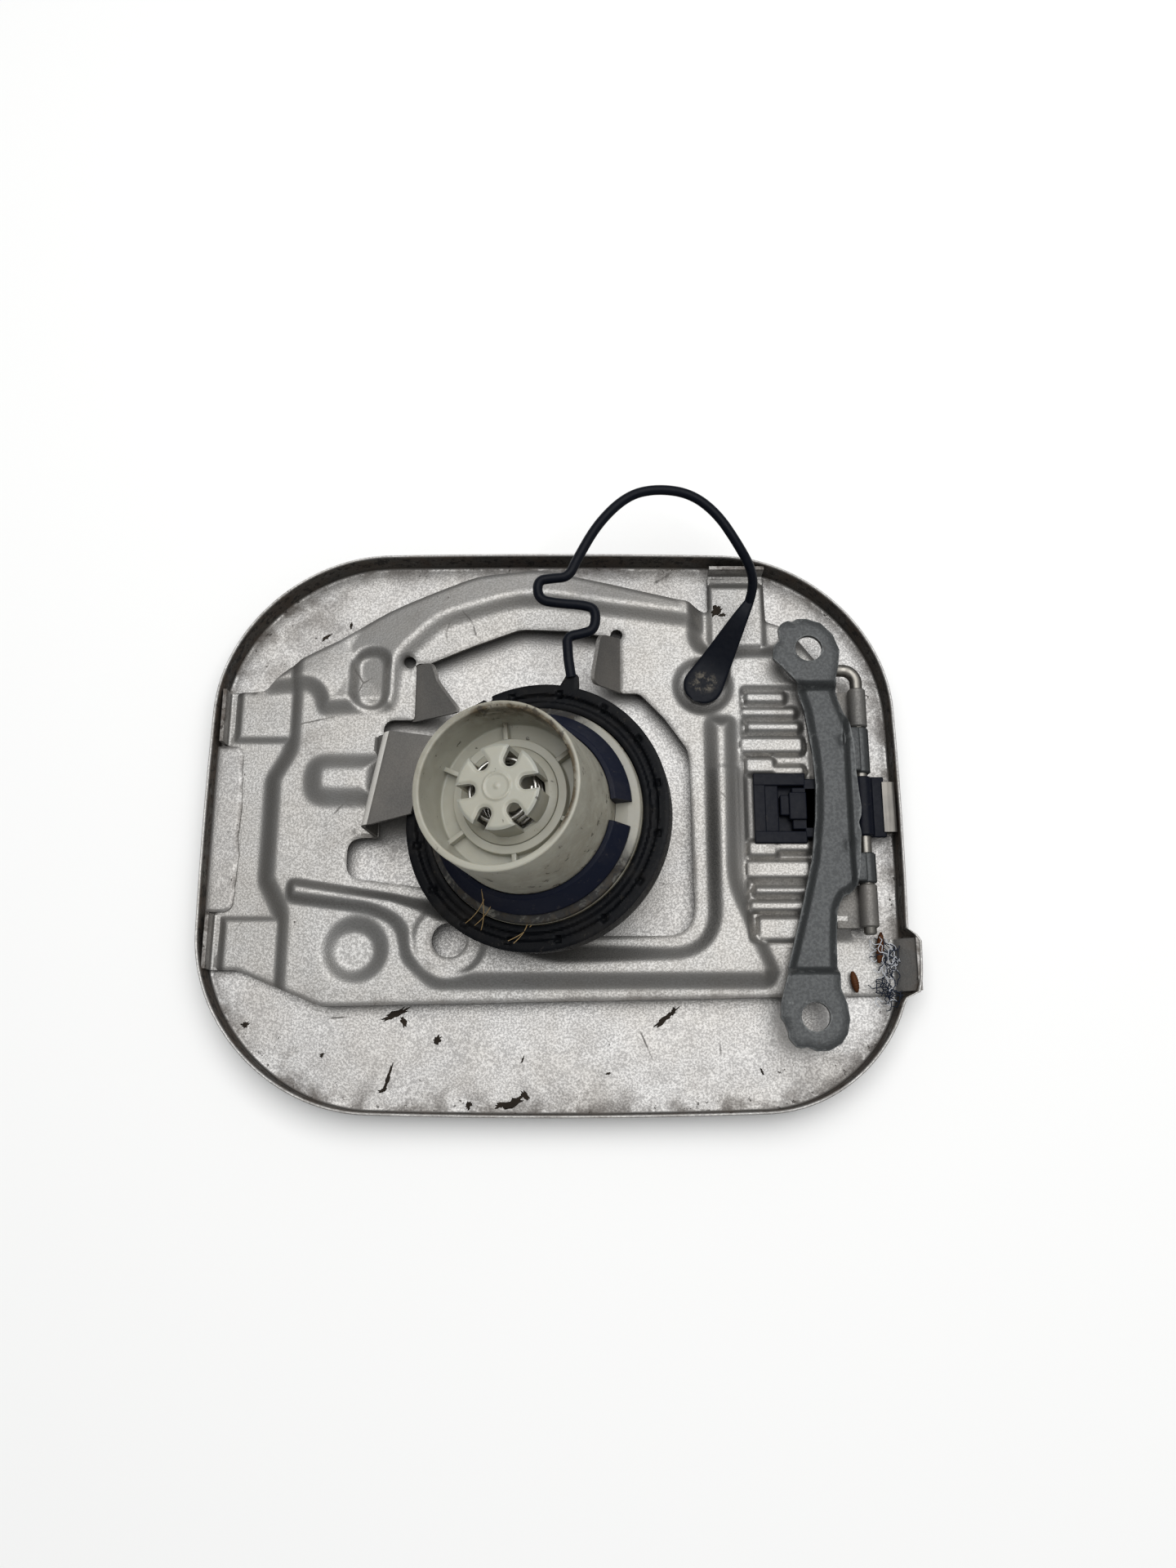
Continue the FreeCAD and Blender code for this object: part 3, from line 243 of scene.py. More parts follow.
def turned(profile, count=120, start=0.0, sweep=360.0):
    """Closed loop of (radius, height) points turned round the cap's axis, all the way or by a sweep."""
    full = sweep > 359.9
    turns = np.radians(start + np.linspace(0, sweep, count + (not full), endpoint=not full))
    radius, rise = np.asarray(profile, float).T
    rows = [np.outer(np.cos(turns), radius), np.outer(np.sin(turns), radius), np.tile(rise, (len(turns), 1))]
    return np.stack(rows, -1).reshape(-1, 3), wound(len(turns), len(radius), full)


def bent_strip(corners, thickness, low, high, radius=2.0):
    """Strip bent at its (x, z) corners: half the thickness to either side of the line, carried along Y."""
    corners = np.array(corners, float)
    runs = [corners[:1]]
    for before, here, after in zip(corners, corners[1:], corners[2:]):
        back, on = np.linalg.norm(before - here), np.linalg.norm(after - here)
        reach = min(radius, 0.45 * back, 0.45 * on)
        runs.append(bend(here + (before - here) / back * reach, here, here + (after - here) / on * reach, 7))
    line = np.concatenate(runs + [corners[-1:]])
    run = np.gradient(line, axis=0)
    normal = np.stack([-run[:, 1], run[:, 0]], 1)
    normal /= np.linalg.norm(normal, axis=1, keepdims=True)
    x, z = np.concatenate([line + normal * thickness / 2, (line - normal * thickness / 2)[::-1]]).T
    ys = np.linspace(low, high, 13)
    points = np.stack([np.tile(x, len(ys)), np.repeat(ys, len(x)), np.tile(z, len(ys))], 1)
    return points, wound(len(ys), len(x))


def sleeve(outer, inner, low, high, ease=0.35):
    """Sleeve round the hinge pin's line, its ends eased: a turned profile laid along Y."""
    points, faces = turned([(inner, low), (outer - ease, low), (outer, low + ease), (outer, high - ease),
                            (outer - ease, high), (inner, high)], 48)
    return points[:, [0, 2, 1]] + (HINGE_X, 0, HINGE_Z), faces


def joined(*shapes):
    """Several shapes as one: points in a row, and faces numbered on."""
    starts = np.cumsum([0] + [len(points) for points, _ in shapes])
    faces = [np.where(rows < 0, -1, rows + start) for (_, parts), start in zip(shapes, starts) for rows in parts]
    return np.concatenate([points for points, _ in shapes]), faces


def read_out(items, key, width=1, kind=np.float32):
    """One property of all the items of a mesh, as rows of that width."""
    values = np.empty(len(items) * width, kind)
    items.foreach_get(key, values)
    return values.reshape(-1, width)


def eased_block(low, high, ease=0.5):
    """Box between two corners, its edges bevelled round in three facets."""
    form, mesh = bmesh.new(), bpy.data.meshes.new("block")
    place = Matrix.LocRotScale(Vector(np.add(low, high) / 2), None, Vector(np.subtract(high, low)))
    bmesh.ops.create_cube(form, size=1, matrix=place)
    bmesh.ops.bevel(form, geom=form.edges[:], offset=ease, segments=3, profile=0.5, affect="EDGES")
    form.to_mesh(mesh)
    form.free()
    points = read_out(mesh.vertices, "co", 3)
    counts = read_out(mesh.polygons, "loop_total", 1, np.int32)
    faces = np.full((len(counts), counts.max()), -1)
    faces[np.arange(counts.max()) < counts] = read_out(mesh.loops, "vertex_index", 1, np.int32)[:, 0]
    bpy.data.meshes.remove(mesh)
    return points, [faces]


def piece(name, shape, material, body, replaces=(), sharp=38.0, grime_and_shade=None):
    """New piece from points in millimetres: smooth shaded up to an angle, riding on a body."""
    points, faces = shape
    corners = np.concatenate([rows[rows >= 0] for rows in faces])
    counts = np.concatenate([(rows >= 0).sum(1) for rows in faces])
    mesh = bpy.data.meshes.new(name)
    mesh.vertices.add(len(points))
    mesh.vertices.foreach_set("co", framed(points).astype(np.float32).ravel())
    mesh.loops.add(len(corners))
    mesh.loops.foreach_set("vertex_index", corners.astype(np.int32))
    mesh.polygons.add(len(counts))
    mesh.polygons.foreach_set("loop_start", (np.cumsum(counts) - counts).astype(np.int32))
    mesh.update(calc_edges=True)
    form = bmesh.new()
    form.from_mesh(mesh)
    bmesh.ops.recalc_face_normals(form, faces=form.faces[:])
    form.to_mesh(mesh)
    form.free()
    mesh.polygons.foreach_set("use_smooth", np.ones(len(counts), bool))
    mesh.set_sharp_from_angle(angle=math.radians(sharp))
    if grime_and_shade is not None:
        layer = mesh.attributes.new("grime_and_shade", "FLOAT", "POINT")
        layer.data.foreach_set("value", np.asarray(grime_and_shade, np.float32))
    mesh.materials.append(material)
    obj = bpy.data.objects.new(name, mesh)
    bpy.context.scene.collection.objects.link(obj)
    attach(obj, body)
    for solid in replaces:
        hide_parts(solid)
    return obj


# Materials: sizes of patterns are in millimetres, and "grime_and_shade" is a layer of the piece's own points: dirt
# and wear, and on some pieces painted shade

def linear(code):
    """Linear colour of an sRGB hex code."""
    parts = [int(code[i:i + 2], 16) / 255 for i in (0, 2, 4)]
    return [p / 12.92 if p <= 0.04045 else ((p + 0.055) / 1.055) ** 2.4 for p in parts] + [1.0]


def node(tree, kind, output=0, inputs=None, **settings):
    """Add a node: its settings, then each input as a link from an output or as a value. Gives one output."""
    made = tree.nodes.new("ShaderNode" + kind)
    for key, value in settings.items():
        setattr(made, key, value)
    for key, value in (inputs or {}).items():
        if isinstance(value, bpy.types.NodeSocket):
            tree.links.new(value, made.inputs[key])
        else:
            made.inputs[key].default_value = value
    return made.outputs[output] if made.outputs else None


def started(name, **patterns):
    """Empty material: itself, its tree, the place on the piece, the grime and shade layer and its noise patterns.

    A pattern is (patch size, detail, roughness, warp). Where it goes on with (lift, low, high, most), the grime
    and shade layer times the lift is added, and the sum rises smoothly from 0 where it is low to most where it is
    high.
    """
    material = bpy.data.materials.new(name)
    material.use_nodes = True
    tree = material.node_tree
    tree.nodes.clear()
    place = node(tree, "TexCoord", "Object")
    grime_and_shade = node(tree, "Attribute", "Fac", attribute_name="grime_and_shade")
    noise = {}
    for key, (size, detail, rough, warp, *rise) in patterns.items():
        noise[key] = node(tree, "TexNoise", "Fac", {
            "Vector": place, "Scale": 1 / (size * MM), "Detail": detail, "Roughness": rough, "Distortion": warp})
        if rise:
            lift, low, high, most = rise
            lifted = node(tree, "Math", 0, {0: grime_and_shade, 1: lift, 2: noise[key]}, operation="MULTIPLY_ADD")
            noise[key] = node(tree, "MapRange", "Result", {
                "Value": lifted, "From Min": low, "From Max": high, "To Max": most},
                interpolation_type="SMOOTHSTEP")
    return material, tree, place, grime_and_shade, noise


def finished(material, tree, base, layers, relief, depth, strength, sockets):
    """Rest of a material: colours laid over the base by their shares, a bump of a depth, shader and output."""
    colour = linear(base)
    for share, code in layers:
        colour = node(tree, "Mix", "Result", {"Factor": share, "A": colour, "B": linear(code)}, data_type="RGBA")
    normal = node(tree, "Bump", "Normal", {"Strength": strength, "Distance": depth * MM, "Height": relief})
    surface = node(tree, "BsdfPrincipled", "BSDF", {"Base Color": colour, "Normal": normal, **sockets})
    node(tree, "OutputMaterial", 0, {"Surface": surface})
    return material


def silver_enamel(name, bright="a7a6a4", dull="8c8b89", rough=0.43, dirt="2e2721", speck=0.70, metal=0.9):
    """Silver enamel sprayed on pressed steel: aluminium flake in a baked clear binder.

    The flake gives the eye a soft metal grey that darkens where the sheet slopes away. It is really about
    0.03 mm and is drawn as 0.5 mm, since finer would be lost. Years of road dirt lie on it: a brown film where
    the grime and shade layer says, which on the inside of the wall is painted shade as well as dirt, dark specks
    of 2 mm and less, and a few hairline cracks 26 mm apart.
    """
    material, tree, place, grime_and_shade, noise = started(
        name, grain=(0.5, 2.0, 0.6, 0.0, 0.0, 0.33, 0.67, 0.75), cloud=(18.18, 5.0, 0.6, 0.0, 0.0, 0.3, 0.7, 0.3),
        spots=(1.923, 4.0, 0.72, 0.0, 0.09, speck, speck + 0.05, 1.0),
        film=(7.143, 6.0, 0.65, 0.6, 0.0, 0.34, 0.66, 0.7), worn=(20.83, 4.0, 0.6, 0.0, 0.0, 0.6, 0.68, 0.75))
    film = node(tree, "Math", 0, {0: noise["film"], 1: grime_and_shade}, operation="MULTIPLY")
    crack = node(tree, "TexVoronoi", "Distance", {"Vector": place, "Scale": 1 / (26.316 * MM)},
                 feature="DISTANCE_TO_EDGE")
    crack = node(tree, "MapRange", "Result", {"Value": crack, "From Max": 0.012, "To Min": 1.0, "To Max": 0.0},
                 interpolation_type="SMOOTHSTEP")
    crack = node(tree, "Math", 0, {0: crack, 1: noise["worn"]}, operation="MULTIPLY")
    specks = node(tree, "Math", 0, {0: noise["spots"], 1: crack}, operation="MAXIMUM")
    dark = node(tree, "Math", 0, {0: specks, 1: 0.85}, operation="MULTIPLY")
    dirty = node(tree, "Math", 0, {0: specks, 1: film}, operation="MAXIMUM")
    metallic = node(tree, "MapRange", "Result", {"Value": dirty, "To Min": metal, "To Max": 0.1},
                    interpolation_type="SMOOTHSTEP")
    shine = node(tree, "MapRange", "Result", {
        "Value": noise["grain"], "From Max": 0.75, "To Min": rough + 0.07, "To Max": rough - 0.05},
        interpolation_type="SMOOTHSTEP")
    shine = node(tree, "Math", 0, {0: dirty, 1: 0.3, 2: shine}, operation="MULTIPLY_ADD")
    crust = node(tree, "Math", 0, {0: dirty, 1: 0.8}, operation="MULTIPLY")
    relief = node(tree, "Math", 0, {0: noise["grain"], 1: 0.5 / 0.75, 2: crust}, operation="MULTIPLY_ADD")
    layers = ((noise["grain"], bright), (noise["cloud"], "8b857c"), (film, "4a4037"), (dark, dirt))
    return finished(material, tree, dull, layers, relief, 0.12, 0.22, {
        "Metallic": metallic, "Roughness": shine})


def grey_coat(name):
    """Grey flake paint on a steel stamping: dark and half dull, rubbed paler along its edges, and paler along its
    bends as a painted highlight, both where the grime and shade layer says.

    Its flake, really about 0.05 mm, is drawn as 0.8 mm. Rubbed spots are about 4 mm across, dust about 3 mm.
    """
    material, tree, place, grime_and_shade, noise = started(
        name, flake=(0.7692, 2.0, 0.6, 0.0, 0.0, 0.35, 0.65, 0.35),
        rub=(3.846, 5.0, 0.7, 0.0, 0.3, 0.64, 0.74, 0.45),
        dust=(3.333, 5.0, 0.7, 0.0, 0.0, 0.66, 0.72, 0.6), peel=(2.381, 4.0, 0.55, 0.0))
    shine = node(tree, "MapRange", "Result", {
        "Value": noise["flake"], "From Max": 0.35, "To Min": 0.48, "To Max": 0.38},
        interpolation_type="SMOOTHSTEP")
    relief = node(tree, "Math", 0, {0: noise["flake"], 1: 1 / 0.35, 2: noise["peel"]}, operation="MULTIPLY_ADD")
    layers = ((noise["flake"], "444747"), (noise["rub"], "6a6c6c"), (noise["dust"], "2a2825"))
    return finished(material, tree, "343637", layers, relief, 0.12, 0.16, {
        "Metallic": 0.35, "Roughness": shine})


def drawn_steel(name, colour, rough):
    """Steel drawn to wire or rolled to strip: bright, with marks along Y and duller patches of 8 mm.

    The marks are really about 0.1 mm wide and are drawn as 1.1 mm, and 17 times as long as wide.
    """
    material, tree, place, grime_and_shade, noise = started(name, cloud=(8.333, 4.0, 0.55, 0.0, 0.0, 0.35, 0.65, 0.4))
    along = node(tree, "Mapping", "Vector", {"Vector": place, "Scale": (1.0, 0.06, 1.0)})
    marks = node(tree, "TexNoise", "Fac", {
        "Vector": along, "Scale": 1 / (1.1111 * MM), "Detail": 3.0, "Roughness": 0.6, "Distortion": 0.0})
    shine = node(tree, "MapRange", "Result", {
        "Value": marks, "From Min": 0.3, "From Max": 0.7, "To Min": rough - 0.06, "To Max": rough + 0.14},
        interpolation_type="SMOOTHSTEP")
    layers = ((noise["cloud"], "77736c"),)
    return finished(material, tree, colour, layers, marks, 0.1, 0.12, {"Metallic": 1.0, "Roughness": shine})


def dark_moulding(name, colour, rough=0.42, dust=0.35, dust_colour="6f675b"):
    """Dark plastic out of a spark-eroded mould: a matt grain that takes the light off its faces.

    The grain, really about 0.1 mm, is drawn as 1.1 mm. Dust lies on it in clouds of 14 mm and specks of 2 mm,
    and it is scuffed pale where the grime and shade layer says.
    """
    material, tree, place, grime_and_shade, noise = started(
        name, texture=(1.1111, 3.0, 0.6, 0.0), cloud=(14.286, 5.0, 0.65, 0.5, 0.0, 0.45, 0.75, 0.5),
        specks=(1.923, 4.0, 0.75, 0.0, 0.0, 0.6, 0.7, 1.0), scuff=(1.7857, 6.0, 0.8, 0.0, 0.0, 0.46, 0.62, 0.45))
    film = node(tree, "Math", 0, {0: noise["cloud"], 1: noise["specks"]}, operation="MAXIMUM")
    film = node(tree, "Math", 0, {0: film, 1: dust}, operation="MULTIPLY")
    scuff = node(tree, "Math", 0, {0: noise["scuff"], 1: grime_and_shade}, operation="MULTIPLY")
    grain = node(tree, "Math", 0, {0: noise["texture"], 1: 0.3}, operation="MULTIPLY")
    shine = node(tree, "MapRange", "Result", {
        "Value": noise["texture"], "From Min": 0.3, "From Max": 0.7,
        "To Min": rough - 0.06, "To Max": rough + 0.08}, interpolation_type="SMOOTHSTEP")
    shine = node(tree, "Math", 0, {0: film, 1: 0.35, 2: shine}, operation="MULTIPLY_ADD")
    relief = node(tree, "Math", 0, {0: film, 1: 2.0, 2: noise["texture"]}, operation="MULTIPLY_ADD")
    layers = ((grain, "1c1e24"), (film, dust_colour), (scuff, "7d7669"))
    return finished(material, tree, colour, layers, relief, 0.1, 0.15, {
        "Roughness": shine, "Specular IOR Level": 0.09})


def pale_moulding(name, colour="aaa99d", stain_and_shade="4f4532"):
    """Off-white nylon or acetal out of a polished mould: satin, with a little light passing through it.

    Age has yellowed it in clouds of 13 mm. Fuel and dirt have stained it where the grime and shade layer says, in
    patches of 5 mm, and the same stain colour is painted shade where that layer is raised for shade, as in the
    plug's hollow and round the seal; dark specks of 3 mm and less lie on it.
    """
    material, tree, place, grime_and_shade, noise = started(
        name, cloud=(13.333, 5.0, 0.6, 0.4, 0.0, 0.38, 0.72, 0.3), film=(5.263, 6.0, 0.7, 0.5),
        spots=(2.6316, 4.0, 0.7, 0.0, 0.1, 0.68, 0.73, 0.8), texture=(2.0, 3.0, 0.55, 0.0))
    film = node(tree, "MapRange", "Result", {
        "Value": noise["film"], "From Min": 0.3, "From Max": 0.62, "To Min": 0.5}, interpolation_type="SMOOTHSTEP")
    film = node(tree, "Math", 0, {0: film, 1: grime_and_shade}, operation="MULTIPLY")
    stained_and_shaded = node(tree, "Math", 0, {0: film, 1: 0.75}, operation="MULTIPLY")
    shine = node(tree, "MapRange", "Result", {
        "Value": noise["cloud"], "From Max": 0.3, "To Min": 0.3, "To Max": 0.42}, interpolation_type="SMOOTHSTEP")
    shine = node(tree, "Math", 0, {0: film, 1: 0.25, 2: shine}, operation="MULTIPLY_ADD")
    relief = node(tree, "Math", 0, {0: film, 1: 1.5, 2: noise["texture"]}, operation="MULTIPLY_ADD")
    layers = ((noise["cloud"], "a39e8b"), (stained_and_shaded, stain_and_shade), (noise["spots"], "2b2419"))
    return finished(material, tree, colour, layers, relief, 0.1, 0.1, {
        "Roughness": shine, "Subsurface Weight": 0.25, "Subsurface Radius": (0.004, 0.003, 0.002),
        "Subsurface Scale": 0.5})


# Enamel: clean on the panel and the skin, and glossier on the outer face. A darker copy is painted shade, with
# dirt, inside the wall and under the panel. Another darker copy is painted shade on the holder and the knuckles,
# and a pale copy along the holder's fold is a painted highlight
PANEL_FINISH = silver_enamel("panel_sheet")
SKIN_FINISH = silver_enamel("skin_inside", "acaba9", "929190", 0.42, "2e2620", 0.69)
PAINT_FINISH = silver_enamel("painted_face", "a2a3a4", "8f9092", 0.24, "4a4540", 0.76)
SHADE_ENAMEL_FINISH = silver_enamel("painted_shade_inside", "4a4947", "3a3937", 0.5, "1d1a17", 0.66, 0.5)
# Darker copy of the panel's enamel for pieces bent from the same sheet: painted shade
SHADED_HOLDER_FINISH = silver_enamel("holder_sheet_shaded", "686764", "5b5957", 0.5, "2c2722", 0.70, 0.45)
FOLD_GLINT_FINISH = silver_enamel("fold_glint", "dcdad5", "cfccc6", 0.5, "6b645b", 0.74, 0.1)
# Steel: painted arm, dull pin, bright coils, tarnished leaf
ARM_FINISH = grey_coat("arm_steel")
PIN_FINISH = drawn_steel("pin_steel", "8d8a84", 0.38)
SPRING_FINISH = drawn_steel("spring_steel", "c3c1bc", 0.24)
LEAF_FINISH = drawn_steel("leaf_steel", "5b5956", 0.32)
# Dark mouldings, and the rubber, which is only duller and dustier
NAVY_FINISH = dark_moulding("clip_plastic", "090c16", 0.38, 0.08)
TETHER_FINISH = dark_moulding("tether_plastic", "070b14", 0.4, 0.03)
COLLAR_FINISH = dark_moulding("collar_plastic", "0d1222", 0.42, 0.12)
SHELL_FINISH = dark_moulding("shell_plastic", "121314", 0.42, 0.3)
RING_FINISH = dark_moulding("ring_plastic", "07080a", 0.45, 0.13)
RUBBER_FINISH = dark_moulding("rubber", "141413", 0.6, 0.5)
# Loose dirt, dry and matt, so it takes the same make-up in its own colours
FLAKE_FINISH = dark_moulding("dry_dirt", "29231c", 0.8, 0.5, "51453a")
CASE_FINISH = dark_moulding("insect_case", "4a2a13", 0.4, 0.3, "6f4a28")
LINT_DARK = dark_moulding("lint_dark", "1d2534", 0.7, 0.2)
LINT_PALE = dark_moulding("lint_pale", "c9ccd2", 0.7, 0.2, "8f949c")
LINT_TAN = dark_moulding("web_tan", "a48b62", 0.7, 0.2, "6d5c40")
# Pale mouldings: the stained plug, the grey neck seal with a near-black stain colour for painted shade, and clean
# nylon inside the cap
PLUG_FINISH = pale_moulding("plug_plastic")
SEAL_FINISH = pale_moulding("seal_rubber", "96948a", "191715")
INNER_FINISH = pale_moulding("inner_plastic", "c6c2b2")


# Outer panel

def door_loop(count=360):
    """Outline of the door, evenly spaced: a box with arcs at its corners, its sides bowed out as parabolas."""
    x, y = HALF_WIDTH - EDGE_BOW, HALF_HEIGHT - EDGE_BOW
    arcs = []
    for sign_x, sign_y, radius, first in (
            (1, -1, 34.0, -90), (1, 1, 42.0, 0), (-1, 1, 42.0, 90), (-1, -1, 42.0, 180)):
        turn = np.radians(np.linspace(first, first + 90, 31))
        middle = (sign_x * (x - radius), sign_y * (y - radius))
        arcs.append(middle + radius * np.stack([np.cos(turn), np.sin(turn)], 1))
    loop = np.concatenate(arcs + [arcs[0][:1]])
    along = np.concatenate([[0], np.cumsum(np.linalg.norm(np.diff(loop, axis=0), axis=1))])
    even = np.linspace(0, along[-1], count, endpoint=False)
    loop = np.stack([np.interp(even, along, loop[:, i]) for i in (0, 1)], 1)
    bow_x = EDGE_BOW * (1 - (loop[:, 1] / y) ** 2) * loop[:, 0] / x
    bow_y = EDGE_BOW * (1 - (loop[:, 0] / x) ** 2) * loop[:, 1] / y
    return loop + np.stack([bow_x, bow_y], 1)


def crown(xy):
    """Height of the crowned skin: the squared distance from its middle over twice the crown's radius."""
    return (xy ** 2).sum(-1) / (2 * CROWN)


def outer_panel():
    """Skin and turned-up wall: a section carried round the door's outline, and each point's dirt and painted
    shade.

    Each row of the section is (inset from the outline, rise above the crown, share of the way out from the
    middle, dirt and painted shade), from the middle of the painted face over the wall's edge to the middle of the
    inside.
    """
    loop = door_loop()
    run = np.roll(loop, -1, 0) - np.roll(loop, 1, 0)
    inward = np.stack([-run[:, 1], run[:, 0]], 1) / np.linalg.norm(run, axis=1, keepdims=True)
    roll = np.radians(np.linspace(15, 90, 6))
    rise = np.array([4.2, 6.0, WALL - 0.3])
    inset = np.array([1.9, 2.6, 4.0, 6.0, 9.0, 13.0, 18.0])
    inner_roll = SKIN + INNER_ROLL
    face_and_wall = (
        (EDGE_ROLL, 0, np.linspace(0.02, 1, 16), 0.1),
        (EDGE_ROLL - EDGE_ROLL * np.sin(roll), EDGE_ROLL - EDGE_ROLL * np.cos(roll), 1, 0.25),
        (0, rise, 1, 0.3),
        (np.array([0.25, SKIN - 0.25]), WALL, 1, 0.2))
    # The rows up the inside of the wall and over its roll are raised high: painted shade of the wall, together
    # with its dirt
    inside_rows = (
        (SKIN, rise[::-1], 1, 1.5),
        (inner_roll - INNER_ROLL * np.sin(roll[::-1]), inner_roll - INNER_ROLL * np.cos(roll[::-1]), 1, 0.9),
        (inset, SKIN, 1, 0.6 * np.exp(-(inset - 2.2) / 3.0) + 0.06),
        (18.0, SKIN, np.linspace(0.97, 0.02, 22), 0.06))
    section = [np.stack(np.broadcast_arrays(*rows), 1) for rows in face_and_wall + inside_rows]
    inset, rise, share, dirt = np.concatenate(section).T
    xy = (loop + inward * inset[:, None, None]) * share[:, None, None]
    points = np.concatenate([xy, (crown(xy) + rise[:, None])[..., None]], -1).reshape(-1, 3)
    dirt = np.repeat(dirt, len(loop))

    # The wall is pushed out where the lower hinge tab grips it, and the inside is a little uneven
    x, y, z = points.T
    push = smooth((y + 45.4) / 1.6) * smooth((-28.6 - y) / 1.6)
    push *= smooth((z - 3.2) / 3.4) * (x > 80) * smooth((x - 84) / 3)
    points[:, 0] += 3.2 * push
    uneven = np.arange(len(points)) >= 29 * len(loop)
    points[uneven, 2] += 0.06 * ripple(points[uneven, :2], 26.0, 4)

    # More dirt low down, along the lower edge and in the upper left corner
    lower = smooth((-38 - y) / 25.0) * smooth((z - 0.5) / 0.5)
    patchy = 0.55 + 0.3 * ripple(points[:, :2], 30.0, 9)
    edge_band = smooth((-64 - y) / 5.0)
    corner = smooth((np.hypot(x + 72, y - 44) - 30) / -14.0)
    dirt = np.clip(dirt + (0.12 * lower + 0.14 * edge_band + 0.45 * corner) * patchy, 0, 1.5)
    return (points, wound(len(share), len(loop))), dirt


# The skin takes three finishes: its inside, the painted face underneath, and a darker copy on the inside of its
# wall, which is painted shade
shape, dirt = outer_panel()
skin = piece("door_skin", shape, SKIN_FINISH, "door", ("outer_panel",), 50, dirt)
skin.data.materials.append(PAINT_FINISH)
skin.data.materials.append(SHADE_ENAMEL_FINISH)
facing, centres = (read_out(skin.data.polygons, key, 3) for key in ("normal", "center"))
outside = (facing[:, 2] < -0.02) & (centres[:, 2] < 4.5 * MM)
painted_shade_inside = (np.abs(facing[:, 2]) < 0.5) & ((facing * centres)[:, :2].sum(1) < 0)
skin.data.polygons.foreach_set("material_index", np.where(painted_shade_inside, 2, outside).astype(np.int32))


def hem_edge(xy):
    """Ragged strip of the latch hem: the distance inside its outline, with a ripple on its free edge."""
    loop = rounded([(-88.6, -23.3, 0), (-81.4, -23.3, 3), (-80.6, -8, 1), (-81.2, -5, 1), (-80.8, 4, 1),
                    (-81.6, 20.4, 2.5), (-88.6, 20.4, 0)])
    return inside(xy, loop) + 0.14 * ripple(xy, 3.4, 21) * (xy[:, 0] > -84)


def hem_height(xy, depth):
    """Level hem on the panel's flange, rolled off a little at its edge."""
    return FLANGE + 0.05 + SKIN - 0.3 * (1 - smooth(depth / 0.7))


points, faces, depth = pressed_sheet(hem_edge, hem_height, SKIN - 0.05, (-89, -79.5, -24, 21), 0.4)
piece("latch_hem", (points, faces), SKIN_FINISH, "door", (), 38,
      0.15 + 0.5 * (1 - smooth(depth / 1.4)))


# Inner panel

PANEL_LOOP = rounded([
    (-86, -38, 1), (-79, -38, 4), (-57, -47, 8), (85.5, -44.2, 1), (85.5, -30, 1), (75.2, -30, 2), (75.2, 36, 3),
    (61, 54.5, 5), (57, 55.8, 1), (56.6, 69.4, 1.5), (41.5, 69.4, 1.5), (41.5, 58.2, 1), (15, 64.9, 30),
    (-4, 69.2, 20), (-21, 67.3, 20), (-44, 57.5, 60), (-70, 41.5, 15), (-76.5, 35.3, 4), (-86, 35.3, 1)])
MAIN_LOOP = rounded([
    (-71.5, -60, 0), (69, -60, 0), (69, -31.5, 2), (100, -31.5, 0), (100, 80, 0), (59.5, 80, 0), (59.5, 49.5, 2),
    (40.4, 49.5, 2), (40.4, 90, 0), (-71.5, 90, 0), (-71.5, 20, 6), (-75.8, 12, 6), (-75.8, -16, 6),
    (-71.5, -24, 6)])
PADS = [box_loop(*sides, 1.0) for sides in (
    (-84.5, -66, 20.9, 45), (-84.5, -66, -50, -23.8), (40.5, 57.6, 47, 67))]
FRAME_BEAD = rounded([
    (-67.5, -14.2, 3.2), (-31, -20, 20), (0, -31.8, 20), (38.4, -31.6, 9), (38.4, 29, 4), (48.8, 29, 4),
    (48.2, -16, 20), (57.5, -38, 4), (55, -43.3, 4), (-30, -43.5, 8), (-37.8, -36, 8), (-39.5, -27, 8),
    (-46.5, -24.2, 15), (-67.5, -21.4, 3.2)])
TOP_RIDGE = rounded([
    (-80, 33.5, 0), (-64, 34.2, 3), (-62, 27.0, 5), (-40, 28.6, 4), (-38.8, 41.5, 12), (-28.5, 51.6, 12),
    (-7, 58.2, 30), (15, 54.8, 60), (40.5, 51.2, 0), (40.5, 90, 0), (-80, 90, 0)])
STIFFENER = rounded([(-65.2, 2.6, 8), (-43, 2.6, 1), (-43, 18.6, 1), (-65.2, 18.6, 8)])
POCKET = box_loop(-51.2, -45.3, 32.0, 44.4, 2.9)
LADDER = box_loop(48.6, 68, -32, 37, 2)
RIB_CRESTS = (
    (50.7, 60.3, 32.1, 34.1), (49.3, 63.1, 28.2, 29.8), (50.8, 64.0, 24.2, 25.8), (49.0, 64.6, 18.4, 21.8),
    (50.1, 56.9, 12.9, 16.2), (50.2, 56.9, -9.0, -5.9), (57.2, 64.7, 12.3, 14.0), (57.5, 65.5, -7.7, -5.9),
    (49.4, 65.2, -14.7, -10.9), (51.4, 64.6, -18.8, -17.6), (50.1, 63.5, -23.0, -21.3), (52.0, 62.4, -30.5, -25.4))
DIMPLE = (-49.4, -33.1)
DISH = (-25.6, -30.8)
ANCHOR = (39.4, 36.6)
CUTOUT = rounded([
    (-52.4, -4.6, 4), (-52.4, -14.8, 4), (-31, -17.6, 15), (3, -29.6, 12), (36, -29.6, 8), (35.3, 18.5, 8),
    (29, 27.5, 5), (22.5, 34.4, 3), (17.5, 34.4, 1), (17.5, 50, 1.5), (3, 52, 8), (-9, 52.5, 10), (-22, 47.5, 15),
    (-33, 42.7, 2), (-36.5, 42.7, 1), (-36.5, 27, 1), (-44.5, 27, 3), (-44.5, -4.6, 1)])
WINDOW = box_loop(52.65, 71.0, -5.05, 11.05, 0.8)
